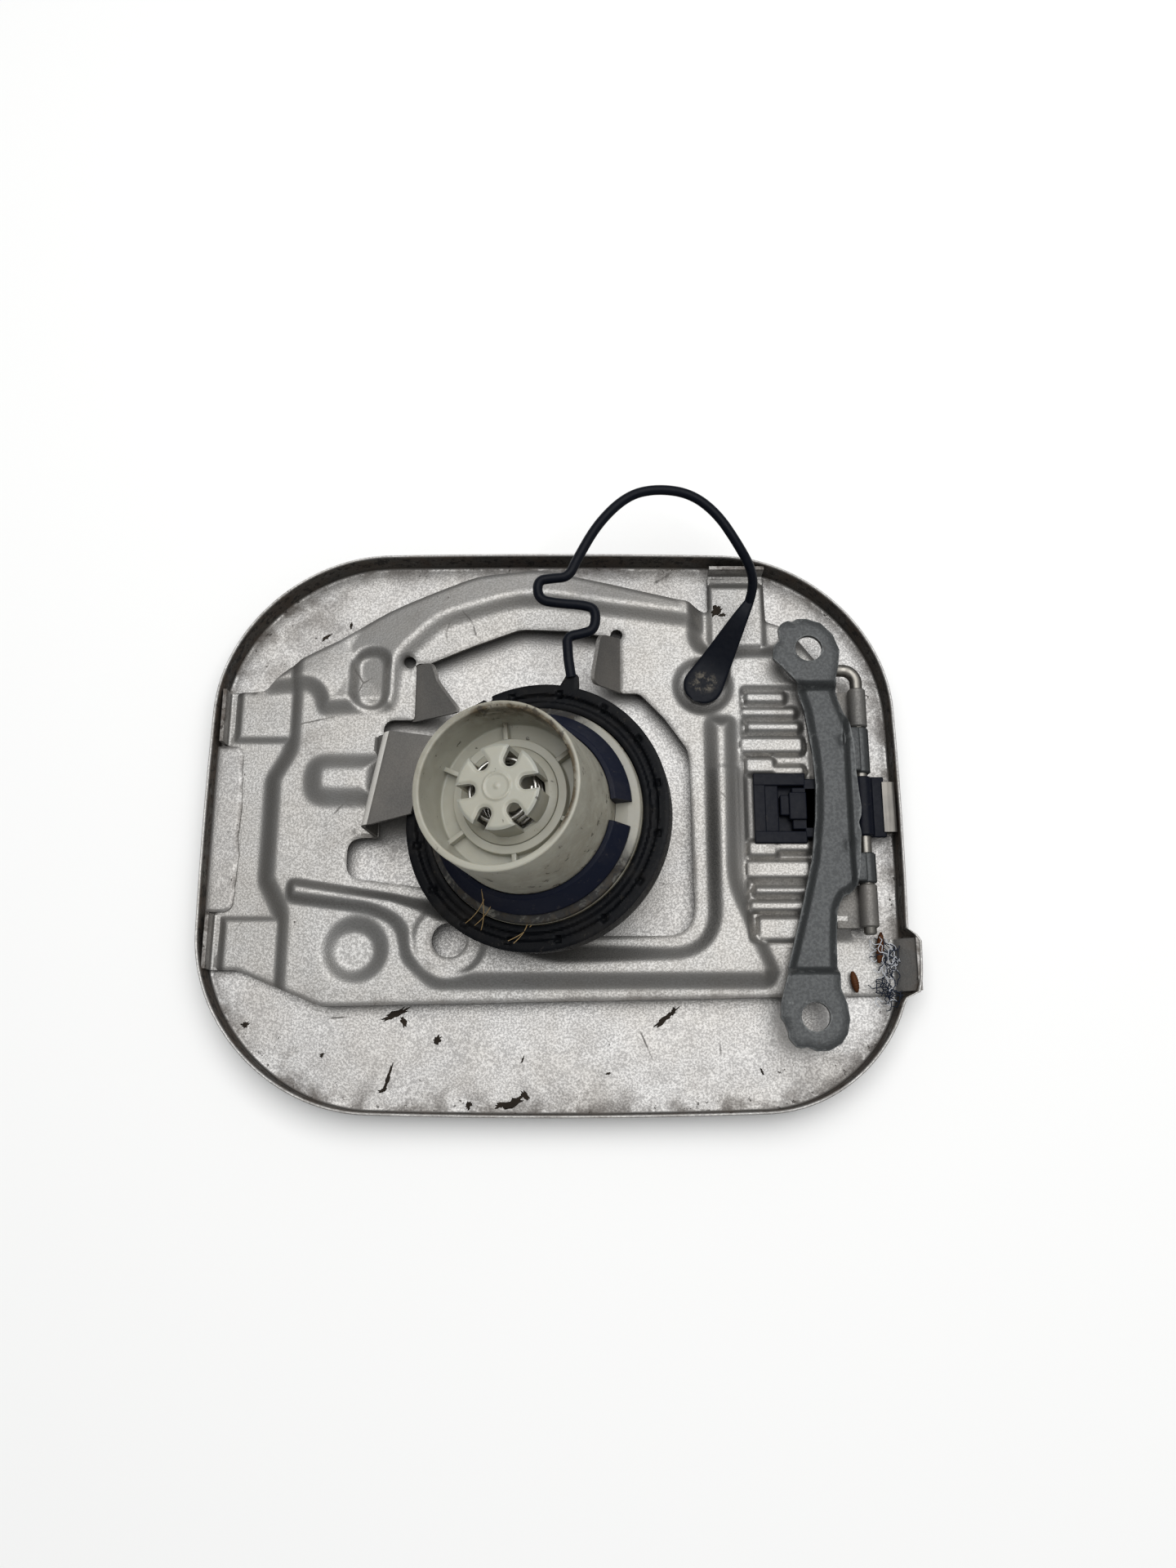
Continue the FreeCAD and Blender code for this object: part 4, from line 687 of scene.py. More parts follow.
ROUND_HOLES = (
    circle(*DISH, 4.3), circle(-38.2, 42.9, 1.6, 40), circle(16.6, 50.8, 1.6, 40), circle(*ANCHOR, 3.3, 40))


def panel_edge(xy):
    """Distance inside the panel's outline and outside its cut-outs: the least of them all."""
    d = inside(xy, PANEL_LOOP)
    for loop in (CUTOUT, WINDOW) + ROUND_HOLES:
        d = np.minimum(d, -inside(xy, loop))
    return d


def panel_height(xy, depth):
    """Top face of the pressing, a sum of eased steps of the distance inside its outlines.

    The flange rises to the pads and the main level. Beads stand above that, the ladder of ribs rises out of a
    lower field, and the pocket and the round dimples sink below it.
    """
    x, y = xy.T
    h = FLANGE + (MAIN - FLANGE) * smooth(inside(xy, MAIN_LOOP) / 5.8)
    for pad in PADS:
        h = np.maximum(h, FLANGE + (PAD - FLANGE) * smooth(inside(xy, pad) / 2.4))
    base = h.copy()
    bead_width = 3.1 + 2.0 * smooth((x + 42) / 12)
    for loop, width, fall in ((FRAME_BEAD, bead_width, 0.0), (TOP_RIDGE, 5.6, 0.2), (STIFFENER, 6.4, 0.0)):
        d = inside(xy, loop, 30.0)
        rise = BEAD_HEIGHT * smooth(d / width) - fall * np.maximum(0, d - 4.6)
        h = np.where(d > 0, np.maximum(h, base + rise), h)
    ladder = inside(xy, LADDER)
    field = np.maximum(h - LADDER_DROP * smooth(ladder / 2.0), MAIN - LADDER_DROP)
    h = np.where(ladder > 0, np.minimum(h, field), h)
    for left, right, low, high in RIB_CRESTS:
        d = inside(xy, box_loop(left, right, low, high, 0.7))
        h = np.maximum(h, np.where(d > -1.5, MAIN - LADDER_DROP + RIB_HEIGHT * smooth((d + 1.5) / 1.7), h))
    h -= BEAD_HEIGHT * smooth((inside(xy, POCKET) + 3.1) / 3.1)
    for (middle_x, middle_y), drop, radius, slope in (
            (DIMPLE, 2.2, 9.2, 5.2), (DISH, 1.0, 10.2, 2.6), (ANCHOR, 1.6, 8.9, 3.6)):
        h -= drop * smooth((radius - np.hypot(x - middle_x, y - middle_y)) / slope)
    column = (x > 40) & (x < 48)
    h += np.where(column, 0.35 * smooth((14.4 - y) / 1.2) * smooth((y + 30) / 30) * smooth((x - 40) / 2), 0)
    h -= 0.3 * (1 - smooth(depth / 0.8))
    return h + 0.05 * ripple(xy, 22.0, 2)


points, faces, depth = pressed_sheet(panel_edge, panel_height, SHEET, (-86.6, 86.2, -47.6, 70.0), 0.56)
lower = smooth((-36 - points[:, 1]) / 6.0)
dirt = 0.06 + 0.6 * np.exp(-depth / 1.3) * (0.35 + 0.65 * lower)
dirt += 0.2 * smooth((ripple(points[:, :2], 24.0, 31) - 0.3) / 0.8)
panel = piece("panel_pressing", (points, faces), PANEL_FINISH, "door", ("inner_panel",), 50,
              np.clip(dirt, 0, 1))
# The under face and the rim walls of the pressing take the darker enamel: painted shade under the sheet and along
# its cut edges
panel.data.materials.append(SHADE_ENAMEL_FINISH)
under = read_out(panel.data.polygons, "normal", 3)[:, 2] < 0.05
panel.data.polygons.foreach_set("material_index", under.astype(np.int32))

# Tabs of the inner panel, turned up against the wall: two at the latch, one at the hinge, one at the top
TAB_LEVEL = FLANGE - SHEET / 2
TAB_TOP = 9.0
WALL_IN = -HALF_WIDTH + SKIN + 0.25 + EDGE_BOW / 2 + SHEET / 2
latch_line = [(-83.0, TAB_LEVEL), (WALL_IN, TAB_LEVEL), (WALL_IN, TAB_TOP)]
hinge_line = [(83.9, TAB_LEVEL), (85.9, TAB_LEVEL), (90.7, 8.85), (90.7, 10.0)]
top_line = [(66.0, TAB_LEVEL), (69.45, TAB_LEVEL), (69.45, TAB_TOP)]
tabs = [bent_strip(latch_line, SHEET, low, high, 1.2) for low, high in ((20.8, 35.0), (-37.8, -24.0))]
tabs.append(bent_strip(hinge_line, SHEET, -43.2, -30.2, 1.0))
along_y, faces = bent_strip(top_line, SHEET, -56.4, -41.7, 1.2)
tabs.append((along_y[:, [1, 0, 2]] * (-1, 1, 1), faces))
tabs = joined(*tabs)
# The tabs are painted darker as they rise up the wall: painted shade, as on the wall's inside
piece("crimp_tabs", tabs, PANEL_FINISH, "door", (), 38,
      0.15 + 1.1 * smooth((tabs[0][:, 2] - 5.6) / 2.2))

# Rolled knuckles of the inner panel, and the webs that carry them, in the darker enamel as painted shade
rolls = [sleeve(2.3, KNUCKLE_BORE, low, high) for low, high in PANEL_KNUCKLES]
webs = [eased_block((71.5, low, MAIN - SHEET), (HINGE_X, high, MAIN - 0.02), 0.2) for low, high in PANEL_KNUCKLES]
piece("panel_knuckles", joined(*rolls, *webs), SHADED_HOLDER_FINISH, "door")


# Cap holder

def ring_height(x):
    """Height of the parked ring's top face on its middle line."""
    return CAP_PLACE[2] + (x - CAP_PLACE[0]) * math.tan(CAP_TILT)


# Hook: a strip bent up and over the ring, narrower and skewed towards its tip, in the darker enamel as painted
# shade, its fold painted bright as a highlight
HOOK_ROOT = -49.0
HOOK_WALL = -45.0
HOOK_TIP = -32.2
HOOK_MIDDLE = 8.8
HOOK_SKEW = 0.17
HOOK_LEVEL = MAIN - SHEET / 2
lift = (0.3 + SHEET / 2) / math.cos(CAP_TILT)
hook_line = [(HOOK_ROOT, HOOK_LEVEL), (HOOK_WALL, HOOK_LEVEL), (HOOK_WALL, ring_height(HOOK_WALL) + lift),
             (HOOK_TIP, ring_height(HOOK_TIP) + lift)]
points, faces = bent_strip(hook_line, SHEET, -4.6, 22.2, 2.4)
raised = smooth((points[:, 2] - 9) / 6)
middle = points[:, 1] - HOOK_MIDDLE
points[:, 1] -= middle * raised * (0.1 + 0.16 * smooth((points[:, 0] + 37) / 5) ** 2)
points[:, 0] += HOOK_SKEW * middle * raised
holder = piece("holder_hook", (points, faces), SHADED_HOLDER_FINISH, "door")
# Faces along the top of the fold take a pale copy of the enamel: a painted highlight
holder.data.materials.append(FOLD_GLINT_FINISH)
centres = read_out(holder.data.polygons, "center", 3) / MM
fold = HOOK_WALL - 1 + HOOK_SKEW * (centres[:, 1] - HOOK_MIDDLE)
bright = (centres[:, 2] > ring_height(HOOK_WALL) - 2.2) & (centres[:, 0] - fold < 0.75)
holder.data.polygons.foreach_set("material_index", bright.astype(np.int32))


# Fingers: two leaves cut out of the panel and bent up, which the ring's far edge slips under, in the darker enamel
# as painted shade
FINGER_ROOT = MAIN - SHEET


def finger(root_x, corners, lean, side):
    """Holder finger: a flat sheet of (y, z) corners, leant over from its root.

    The lean goes evenly from one angle at low Y to another at high Y. A point at height up moves sideways by
    up times the lean's sine and rises by up times its cosine, and the foot is eased by a parabola.
    """
    loop = rounded(corners)
    low, high = loop.min(0) - 0.5, loop.max(0) + 0.5

    def bulge(yz, depth):
        return 0.3 * np.cos((yz[:, 1] - MAIN) * 0.25) - 0.12 * (1 - smooth(depth / 0.5))

    box = (low[0], high[0], low[1], high[1])
    sheet, faces, _ = pressed_sheet(lambda yz: inside(yz, loop), bulge, SHEET, box, 0.7)
    y, z, out = sheet.T
    angle = np.radians(lean[0] + (lean[1] - lean[0]) * (y - low[0]) / (high[0] - low[0]))
    up = z - FINGER_ROOT
    foot = np.minimum(up, 2.0) ** 2 / 4.0
    x = root_x + side * (out + up * np.sin(angle) - foot * 0.2)
    return np.stack([x, y, FINGER_ROOT + up * np.cos(angle)], 1), faces


left_finger = finger(-36.4, [(42.2, FINGER_ROOT, 0), (42.2, 12.6, 3.2), (36.6, 14.6, 6), (27.2, 22.0, 1.2),
                             (26.6, FINGER_ROOT, 0)], (64, 58), 1)
right_finger = finger(17.4, [(34.6, FINGER_ROOT, 0), (34.6, 18.6, 2.5), (48.0, 17.2, 3), (49.8, FINGER_ROOT, 0)],
                      (46, 36), -1)
piece("holder_fingers", joined(left_finger, right_finger), SHADED_HOLDER_FINISH, "door")


# Hinge arm

ARM_LEVEL = 12.1
EAR_RISE = 2.5
ARM_SHEET = 1.4
BOLT_RADIUS = 3.5
UPPER_EAR = (66.4, 44.3)
LOWER_EAR = (63.8, -49.9)
ARM_DENTS = ((74.8, 20.3), (75.2, -7.4))
ARM_LOOP = rounded([(x, y, 0.9) for x, y in (
    (57.0, 41.6), (57.4, 45.0), (59.0, 46.6), (58.7, 50.0), (59.6, 51.2), (61.3, 52.1), (62.4, 51.6), (63.5, 52.5),
    (66.1, 52.6), (69.8, 51.4), (72.9, 48.2), (74.4, 43.9), (73.9, 39.4), (73.0, 36.0), (74.0, 31.3), (75.8, 26.4),
    (77.0, 19.2), (77.1, 11.6), (77.5, 6.2), (77.9, 2.0), (77.7, -0.1), (77.0, -1.8), (77.5, -4.4), (77.2, -8.5),
    (76.7, -13.7), (76.0, -17.8), (74.5, -19.5), (72.9, -20.1), (71.8, -21.9), (71.0, -24.0), (70.5, -31.0),
    (70.3, -37.0), (70.2, -43.1), (71.6, -47.0), (72.0, -50.5), (71.3, -53.9), (69.7, -56.2), (66.7, -57.9),
    (63.6, -58.0), (63.0, -57.6), (61.5, -57.0), (60.0, -57.4), (58.8, -57.0), (57.2, -55.1), (57.0, -53.4),
    (56.2, -51.2), (55.4, -50.2), (55.6, -46.5), (56.9, -42.0), (59.3, -34.0), (62.6, -21.9), (65.4, -10.6),
    (66.7, -0.1), (67.2, 8.4), (66.7, 17.0), (65.2, 28.0), (63.2, 35.1), (59.5, 39.2))])


def arm_edge(xy):
    """Distance inside the arm's outline and outside its two bolt holes."""
    d = inside(xy, ARM_LOOP)
    for x, y in (UPPER_EAR, LOWER_EAR):
        d = np.minimum(d, np.hypot(xy[:, 0] - x, xy[:, 1] - y) - BOLT_RADIUS)
    return d


def arm_height(xy, depth):
    """Top face of the arm: raised ears, rolled edges, a step over the clip and two small dents."""
    x, y = xy.T
    over_clip = smooth((x - 74.4) / 1.6) * smooth((y + 20) / 4) * smooth((28 - y) / 4)
    dents = sum(np.exp(-((x - dent_x) ** 2 + (y - dent_y) ** 2) / 2.5) for dent_x, dent_y in ARM_DENTS)
    ear = np.maximum(smooth((y - 33.2) / 2.4), smooth((-37.6 - y) / 2.4))
    roll = 1 - smooth(inside(xy, ARM_LOOP) / 2.2)
    h = ARM_LEVEL + EAR_RISE * ear - (1.3 - 1.0 * ear) * roll * (1 - 0.85 * over_clip) + 1.6 * over_clip
    return h - 0.15 * (1 - smooth(depth / 0.6)) * ear - 0.7 * dents + 0.06 * ripple(xy, 9.0, 5)


points, faces, depth = pressed_sheet(arm_edge, arm_height, ARM_SHEET, (54, 79, -59, 53.4), 0.45)
arm_rolls = [sleeve(2.4, KNUCKLE_BORE, low, high) for low, high in ARM_KNUCKLES]
arm_webs = [eased_block((74.6, low + 0.2, 10.5), (78.9, high - 0.2, 12.2), 0.5) for low, high in ARM_KNUCKLES]
shape = joined((points, faces), *arm_rolls, *arm_webs)
worn = np.zeros(len(shape[0]))
# Paler along the plate's edges, which is wear, and in lines across the two ear bends, which is a painted highlight
# of the folds
worn[:len(points)] = np.exp(-depth / 0.5) + 0.5 * np.exp(-np.abs(np.abs(points[:, 1] + 2.2) - 36.6) / 0.7)
piece("arm_plate", shape, ARM_FINISH, "arm", ("hinge_arm",), 42, np.clip(worn, 0, 1))


# Check clip

# Lowest and highest corners: flange on three sides, tray and floor, centre block and tongue, bridge and lip
CLIP_BLOCKS = (
    ((51.5, 8.9, 7.65), (64.9, 12.2, 8.7)), ((51.5, -6.2, 7.65), (64.9, -3.0, 8.7)),
    ((51.5, -6.2, 7.65), (54.6, 12.2, 8.55)), ((52.95, -4.7, 4.95), (57.9, 10.7, 8.2)),
    ((52.95, -4.7, 4.95), (70.7, 10.7, 6.3)), ((61.3, -2.6, 5.4), (70.7, 8.4, 8.6)),
    ((60.4, -0.2, 7.6), (64.9, 7.0, 9.6)), ((58.2, 1.0, 6.6), (61.4, 6.4, 8.9)),
    ((64.4, -4.7, 7.65), (79.0, 10.7, 8.6)), ((79.3, -4.9, 8.3), (84.8, 10.9, 9.8)))
saddle = sleeve(2.65, 1.85, -4.75, 10.75)
clip = joined(*[eased_block(low, high, 0.35) for low, high in CLIP_BLOCKS], saddle)
piece("clip_body", clip, NAVY_FINISH, "door", ("check_clip",))


# Cap

RING_IN = 26.9
RING_OUT = 33.0
RING_UNDER = -1.8
ROOT_TURN = math.radians(75.0)
STRAND_ROOT = rounded([
    (30, -2.5, 0), (33, -2.3, 0.8), (36.4, -1.3, 0), (36.4, 1.3, 0), (33, 2.3, 0.8), (30, 2.5, 0)])
NOTCH_TURNS = np.radians(np.arange(16) * 22.5 + 11.25)


def turn_by(angle):
    """Matrix that turns rows of (x, y) by an angle."""
    return np.array([[math.cos(angle), math.sin(angle)], [-math.sin(angle), math.cos(angle)]])


def ring_edge(xy):
    """Distance inside an annulus with two nicks in its outer edge, joined to the root of the strand."""
    radius = np.hypot(*xy.T)
    turn = np.arctan2(xy[:, 1], xy[:, 0])
    d = np.minimum(RING_OUT - radius, radius - RING_IN)
    for nick in np.radians((112.0, 124.0)):
        away = np.abs(np.angle(np.exp(1j * (turn - nick)))) * RING_OUT
        d = np.where((away < 0.9) & (radius > 30.5), np.minimum(d, RING_OUT - 1 - radius), d)
    return np.maximum(d, inside(xy @ turn_by(-ROOT_TURN), STRAND_ROOT))


def ring_top(xy, depth):
    """Flat top with a groove all round and sixteen notches in the groove's outer wall."""
    radius = np.hypot(*xy.T)
    turn = np.arctan2(xy[:, 1], xy[:, 0])
    groove = smooth((radius - 28.3) / 0.5) * smooth((30.6 - radius) / 0.5)
    h = -0.9 * groove
    away = np.min(np.abs(np.angle(np.exp(1j * (turn[:, None] - NOTCH_TURNS)))), 1) * 30.4
    notch = smooth((1.0 - away) / 0.5) * smooth((radius - 29.6) / 0.4) * smooth((31.7 - radius) / 0.4)
    return h - 0.8 * notch - 0.25 * (1 - smooth(depth / 0.5))


# The ring's under face, the second half of its points, is flat
points, faces, depth = pressed_sheet(ring_edge, ring_top, 1.75, (-33.6, 37.0, -33.6, 37.0), 0.42)
points[len(points) // 2:, 2] = RING_UNDER
piece("cap_ring", (capped(points), faces), RING_FINISH, "door", ("tether_ring",), 40)

# Plug: flange, tapered wall, rim, hollow and the valve cup inside it, with six ribs round the cup
body = turned(rounded([
    (18.2, -2.4, 0.2), (26.6, -2.4, 0.3), (26.6, 0.2, 0.4), (20.4, 0.2, 0.2), (20.3, 7.0, 0.2), (19.55, 22, 3),
    (19.2, 29.0, 0.8), (19.2, 30.0, 0.6), (17.6, 30.0, 0.6), (17.35, 17.0, 0.6), (13.4, 17.0, 0.4),
    (13.4, 19.5, 0.3), (11.4, 19.5, 0.3), (11.4, 8.0, 0.2), (7.0, 8.0, 0.2), (7.0, 6.0, 0.2), (13.4, 6.0, 0.3),
    (13.4, 15.0, 0.3), (17.8, 15.0, 0.3)]), 144)
rib, rib_faces = eased_block((13.2, -0.55, 16.8), (17.6, 0.55, 19.3), 0.15)
ribs = [(np.column_stack([rib[:, :2] @ turn_by(turn), rib[:, 2]]), rib_faces)
        for turn in np.radians(95 + 60 * np.arange(6))]
plug, faces = joined(body, *ribs)

# Stains round the upper rim; darker at the root and along the outer wall's right side, stain together with painted
# shade; painted shade on the shaded side of the hollow
radius, turn, rise = np.hypot(plug[:, 0], plug[:, 1]), np.arctan2(plug[:, 1], plug[:, 0]), plug[:, 2]
dirt = 0.12 + 0.5 * smooth((rise - 22) / 8) * (0.5 + 0.5 * np.sin(turn - 0.4))
dirt += 0.35 * smooth((9 - rise) / 6) * (radius > 19)
# Painted shade: the hollow's inner wall is darkened strongly on the side turned from the light
inner_wall = smooth((rise - 17.2) / 2) * smooth((18.9 - radius) / 0.8) * (radius > 16)
dirt += 1.4 * inner_wall * smooth((np.cos(turn - 0.6) + 0.1) / 0.8)
dirt += 0.5 * smooth((radius - 19.1) / 0.2) * smooth((np.cos(turn + 0.5) + 0.2) / 0.8)
piece("cap_plug_body", (capped(plug), faces), PLUG_FINISH, "cap_plug", ("cap_body",), 40,
      np.clip(dirt, 0, 1.6))

# Seal and split collar round the plug's root
ROOT_RADIUS = 20.45
gasket, faces = turned(rounded([
    (ROOT_RADIUS, 0.2, 0.2), (26.55, 0.2, 0.4), (26.4, 1.3, 0.6), (23.6, 1.8, 0.5), (ROOT_RADIUS, 1.8, 0.2)]), 120)
# Painted shade: the seal is darkened all round except on its right side, where it stays pale as if lit
shaded = smooth((np.abs(np.arctan2(gasket[:, 1], gasket[:, 0]) - 0.3) - 0.5) / 0.4)
piece("cap_gasket", (capped(gasket), faces), SEAL_FINISH, "cap_plug", ("neck_gasket",), 38,
      0.2 + 1.4 * shaded)
collar, faces = turned(rounded([
    (ROOT_RADIUS, 1.8, 0.2), (24.6, 1.8, 0.3), (24.6, 2.8, 0.5), (21.7, 6.9, 0.6), (ROOT_RADIUS, 7.0, 0.3)]),
    116, 3.0, 346.0)
piece("cap_collar", (capped(collar), faces), COLLAR_FINISH, "cap_plug", ("split_collar",))

# Slotted cover of the valve cup: a round face on six petals that stand on a seat
SLOT_TURNS = np.radians(60 * np.arange(6) + 5.0)
SLOT_ROOT = 6.6
SLOT_HALF_WIDTH = 1.6
COVER_IN = 8.7
COVER_OUT = 9.7
COVER_TOP = 28.5


def retainer_edge(xy):
    """Distance inside a round face and outside its six slots, round at their roots and open at the rim."""
    d = COVER_OUT - np.hypot(*xy.T)
    for turn in SLOT_TURNS:
        along = xy @ (math.cos(turn), math.sin(turn))
        across = xy @ (-math.sin(turn), math.cos(turn))
        middle = np.where(along > SLOT_ROOT, np.abs(across), np.hypot(across, along - SLOT_ROOT))
        d = np.minimum(d, np.where(along > 0, middle - SLOT_HALF_WIDTH, 9))
    return d


def retainer_top(xy, depth):
    """Flat face with a raised ring and a pip in its middle, rolled off along every edge."""
    radius = np.hypot(*xy.T)
    hub = sum(rise * smooth((size - radius) / 0.3) for rise, size in ((0.35, 3.4), (-0.25, 2.9), (0.3, 0.7)))
    return COVER_TOP + hub - 0.4 * (1 - smooth(depth / 0.7))


points, faces, depth = pressed_sheet(retainer_edge, retainer_top, 1.5, (-10, 10, -10, 10), 0.25)
petal_section = rounded([
    (COVER_IN, 19.0, 0.2), (COVER_OUT, 19.0, 0.2), (COVER_OUT, 28.2, 0.5), (COVER_IN, 28.2, 0.2)])
petals = [turned(petal_section, 10, math.degrees(turn) + 10.5, 39.0) for turn in SLOT_TURNS]
seat = turned(rounded([
    (COVER_IN, 17.5, 0.2), (11.35, 17.5, 0.2), (11.35, 19.7, 0.3), (COVER_OUT, 20.5, 0.3),
    (COVER_IN, 20.5, 0.2)]), 96)
shape, faces = joined((points, faces), *petals, seat)
piece("valve_basket", (capped(shape), faces), PLUG_FINISH, "cap_plug", ("valve_retainer",), 40,
      0.1 + 0.25 * smooth((24 - shape[:, 2]) / 6))


# Tether strand and its paddle

TETHER_ROUTE = [
    (4.9, 31.4, 27.9), (4.2, 35.4, 28.4), (4.0, 38.4, 28.8), (3.8, 41.7, 29.0), (7.2, 42.4, 29.0),
    (10.7, 43.5, 29.0), (11.0, 49.1, 28.8), (7.8, 50.3, 28.6), (1.9, 50.8, 28.4), (-3.4, 51.8, 28.2),
    (-3.8, 57.0, 28.4), (0.1, 57.4, 28.8), (4.2, 57.6, 29.2), (6.3, 62.4, 29.6), (11.6, 72.0, 30.2),
    (19.0, 79.4, 30.6), (26.5, 81.3, 30.6), (35.1, 80.2, 30.2), (41.9, 75.2, 29.0), (47.3, 67.8, 26.5),
    (51.1, 62.8, 22.5), (52.0, 59.1, 18.5), (51.0, 56.3, 15.4)]
CORD_DIAMETER = 2.5
DISC_RADIUS = 5.2
route = framed(TETHER_ROUTE)
curve = bpy.data.curves.new("tether_strand", "CURVE")
curve.dimensions = "3D"
spline = curve.splines.new("NURBS")
spline.points.add(len(route) - 1)
spline.points.foreach_set("co", np.column_stack([route, np.ones(len(route))]).astype(np.float32).ravel())
spline.order_u = 3
spline.use_endpoint_u = True
curve.resolution_u = 10
curve.bevel_depth = CORD_DIAMETER / 2 * MM
curve.bevel_resolution = 6
curve.use_fill_caps = True
curve.materials.append(TETHER_FINISH)
strand = bpy.data.objects.new("tether_strand", curve)
bpy.context.scene.collection.objects.link(strand)
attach(strand, "door")
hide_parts("tether_cord")


def paddle():
    """Blade from the strand's end to a round disc lying in the panel's dimple, and the stud under the disc.

    The blade is a rounded oblong, cosine and sine to the power 0.55, carried along the line from the strand to
    the disc. Its half width grows evenly up to the disc, and from its middle on it follows a circle.
    """
    end, disc = np.array(TETHER_ROUTE[-1]), np.array([*ANCHOR, 7.1])
    reach = np.linalg.norm((disc - end)[:2])
    along = (disc - end)[:2] / reach
    across = np.array([-along[1], along[0]])
    share = np.concatenate([np.linspace(0, 0.75, 12), np.linspace(0.8, 1 + (DISC_RADIUS - 0.01) / reach, 22)])
    past = (share - 1) * reach
    widening = 1.3 + (DISC_RADIUS - 1.3) * np.minimum(share / 0.95, 1)
    half = np.where(past <= 0, widening, np.sqrt(np.maximum(DISC_RADIUS ** 2 - past ** 2, 0.04)))
    thick = 1.3 - 0.3 * smooth(share / 0.4)
    level = end[2] + (disc[2] - end[2]) * smooth(np.minimum(share, 1) / 0.92)
    turn = np.linspace(0, 2 * math.pi, 28, endpoint=False)
    wide, tall = (np.sign(wave) * np.abs(wave) ** 0.55 for wave in (np.cos(turn), np.sin(turn)))
    flat = (end[:2] + np.outer(share * reach, along))[:, None] + np.outer(half, wide)[..., None] * across
    rise = level[:, None] + np.outer(thick, tall)
    blade = np.concatenate([flat, rise[..., None]], -1).reshape(-1, 3)
    stud, stud_faces = turned(rounded([
        (0.05, 3.2, 0), (2.2, 3.2, 0.3), (3.7, 4.6, 0.3), (3.0, 4.7, 0.1), (3.0, 6.4, 0), (0.05, 6.4, 0)]), 40)
    return joined((blade, wound(len(share), len(turn))), (stud + (*ANCHOR, 0), stud_faces))


points, faces = paddle()
scuffs = smooth((4.4 - np.hypot(points[:, 0] - ANCHOR[0], 1.3 * (points[:, 1] - ANCHOR[1] - 0.6))) / 1.4)
piece("tether_paddle", (points, faces), TETHER_FINISH, "door", ("tether_anchor",), 45,
      scuffs * (points[:, 2] > 7.3))


# Dirt that has come to rest in the door

def tube(path, radius, count=6):
    """Round tube along a path: a circle of the given radii square to the path at each of its points."""
    path = np.asarray(path, float)
    radius = np.broadcast_to(radius, len(path))
    run = np.gradient(path, axis=0)
    run /= np.linalg.norm(run, axis=1, keepdims=True)
    side = np.cross(run, (0.31, 0.23, 0.92))
    side /= np.linalg.norm(side, axis=1, keepdims=True)
    rise = np.cross(run, side)
    turn = np.linspace(0, 2 * math.pi, count, endpoint=False)[None, :, None]
    rings = path[:, None] + (np.cos(turn) * side[:, None] + np.sin(turn) * rise[:, None]) * radius[:, None, None]
    return rings.reshape(-1, 3), wound(len(path), count)


def curls(count, seed, low, high, length, radius):
    """Curly fibres started inside a box: even steps along a heading that wanders, arched as half a sine wave."""
    draw = np.random.default_rng(seed)
    fibres = []
    for _ in range(count):
        heading = draw.uniform(0, 2 * math.pi) + np.cumsum(draw.normal(0.12, 0.55, 18))
        step = draw.uniform(0.5, 1.0) * length / 18
        flat = np.cumsum(np.stack([np.cos(heading), np.sin(heading)], 1) * step, 0)
        rise = draw.uniform(0.2, 1.4) * np.sin(np.linspace(0, math.pi, 18))
        start = draw.uniform(low, high)
        path = np.column_stack([flat - flat.mean(0), rise]) + start
        path[:, 0] = np.minimum(path[:, 0], 87.0)
        fibres.append(tube(path, radius, 5))
    return joined(*fibres)


def insect_case(middle, length, turn):
    """Dry case: a tube whose radius is half a sine wave to the power 0.45, with a finer wave as rings."""
    t = np.linspace(0.02, 0.98, 40)
    radius = 0.95 * np.sin(math.pi * t) ** 0.45 * (1 + 0.05 * np.sin(t * 60))
    along = (t - 0.5) * length
    path = np.column_stack([along * math.cos(turn), along * math.sin(turn), 0.2 * np.sin(math.pi * t)]) + middle
    return tube(path, radius, 14)


def flake(x, y, length, width, turn, seed, level=None):
    """Chip of dried dirt: an oval with seeded ragged radii, 0.25 mm thick, its top four fifths as wide."""
    draw = np.random.default_rng(seed)
    t = np.linspace(0, 2 * math.pi, 22, endpoint=False)
    rough = 1 + 0.4 * draw.uniform(-1, 1, 22)
    flat = np.stack([np.cos(t) * length / 2 * rough, np.sin(t) * width / 2 * rough], 1)
    xy = flat @ turn_by(turn) + (x, y)
    floor_level = crown(xy) + SKIN if level is None else np.full(22, level)
    low = np.column_stack([xy, floor_level - 0.05])
    top = np.column_stack([(xy - (x, y)) * 0.8 + (x, y), floor_level + 0.25])
    return np.concatenate([low, top]), wound(2, 22)


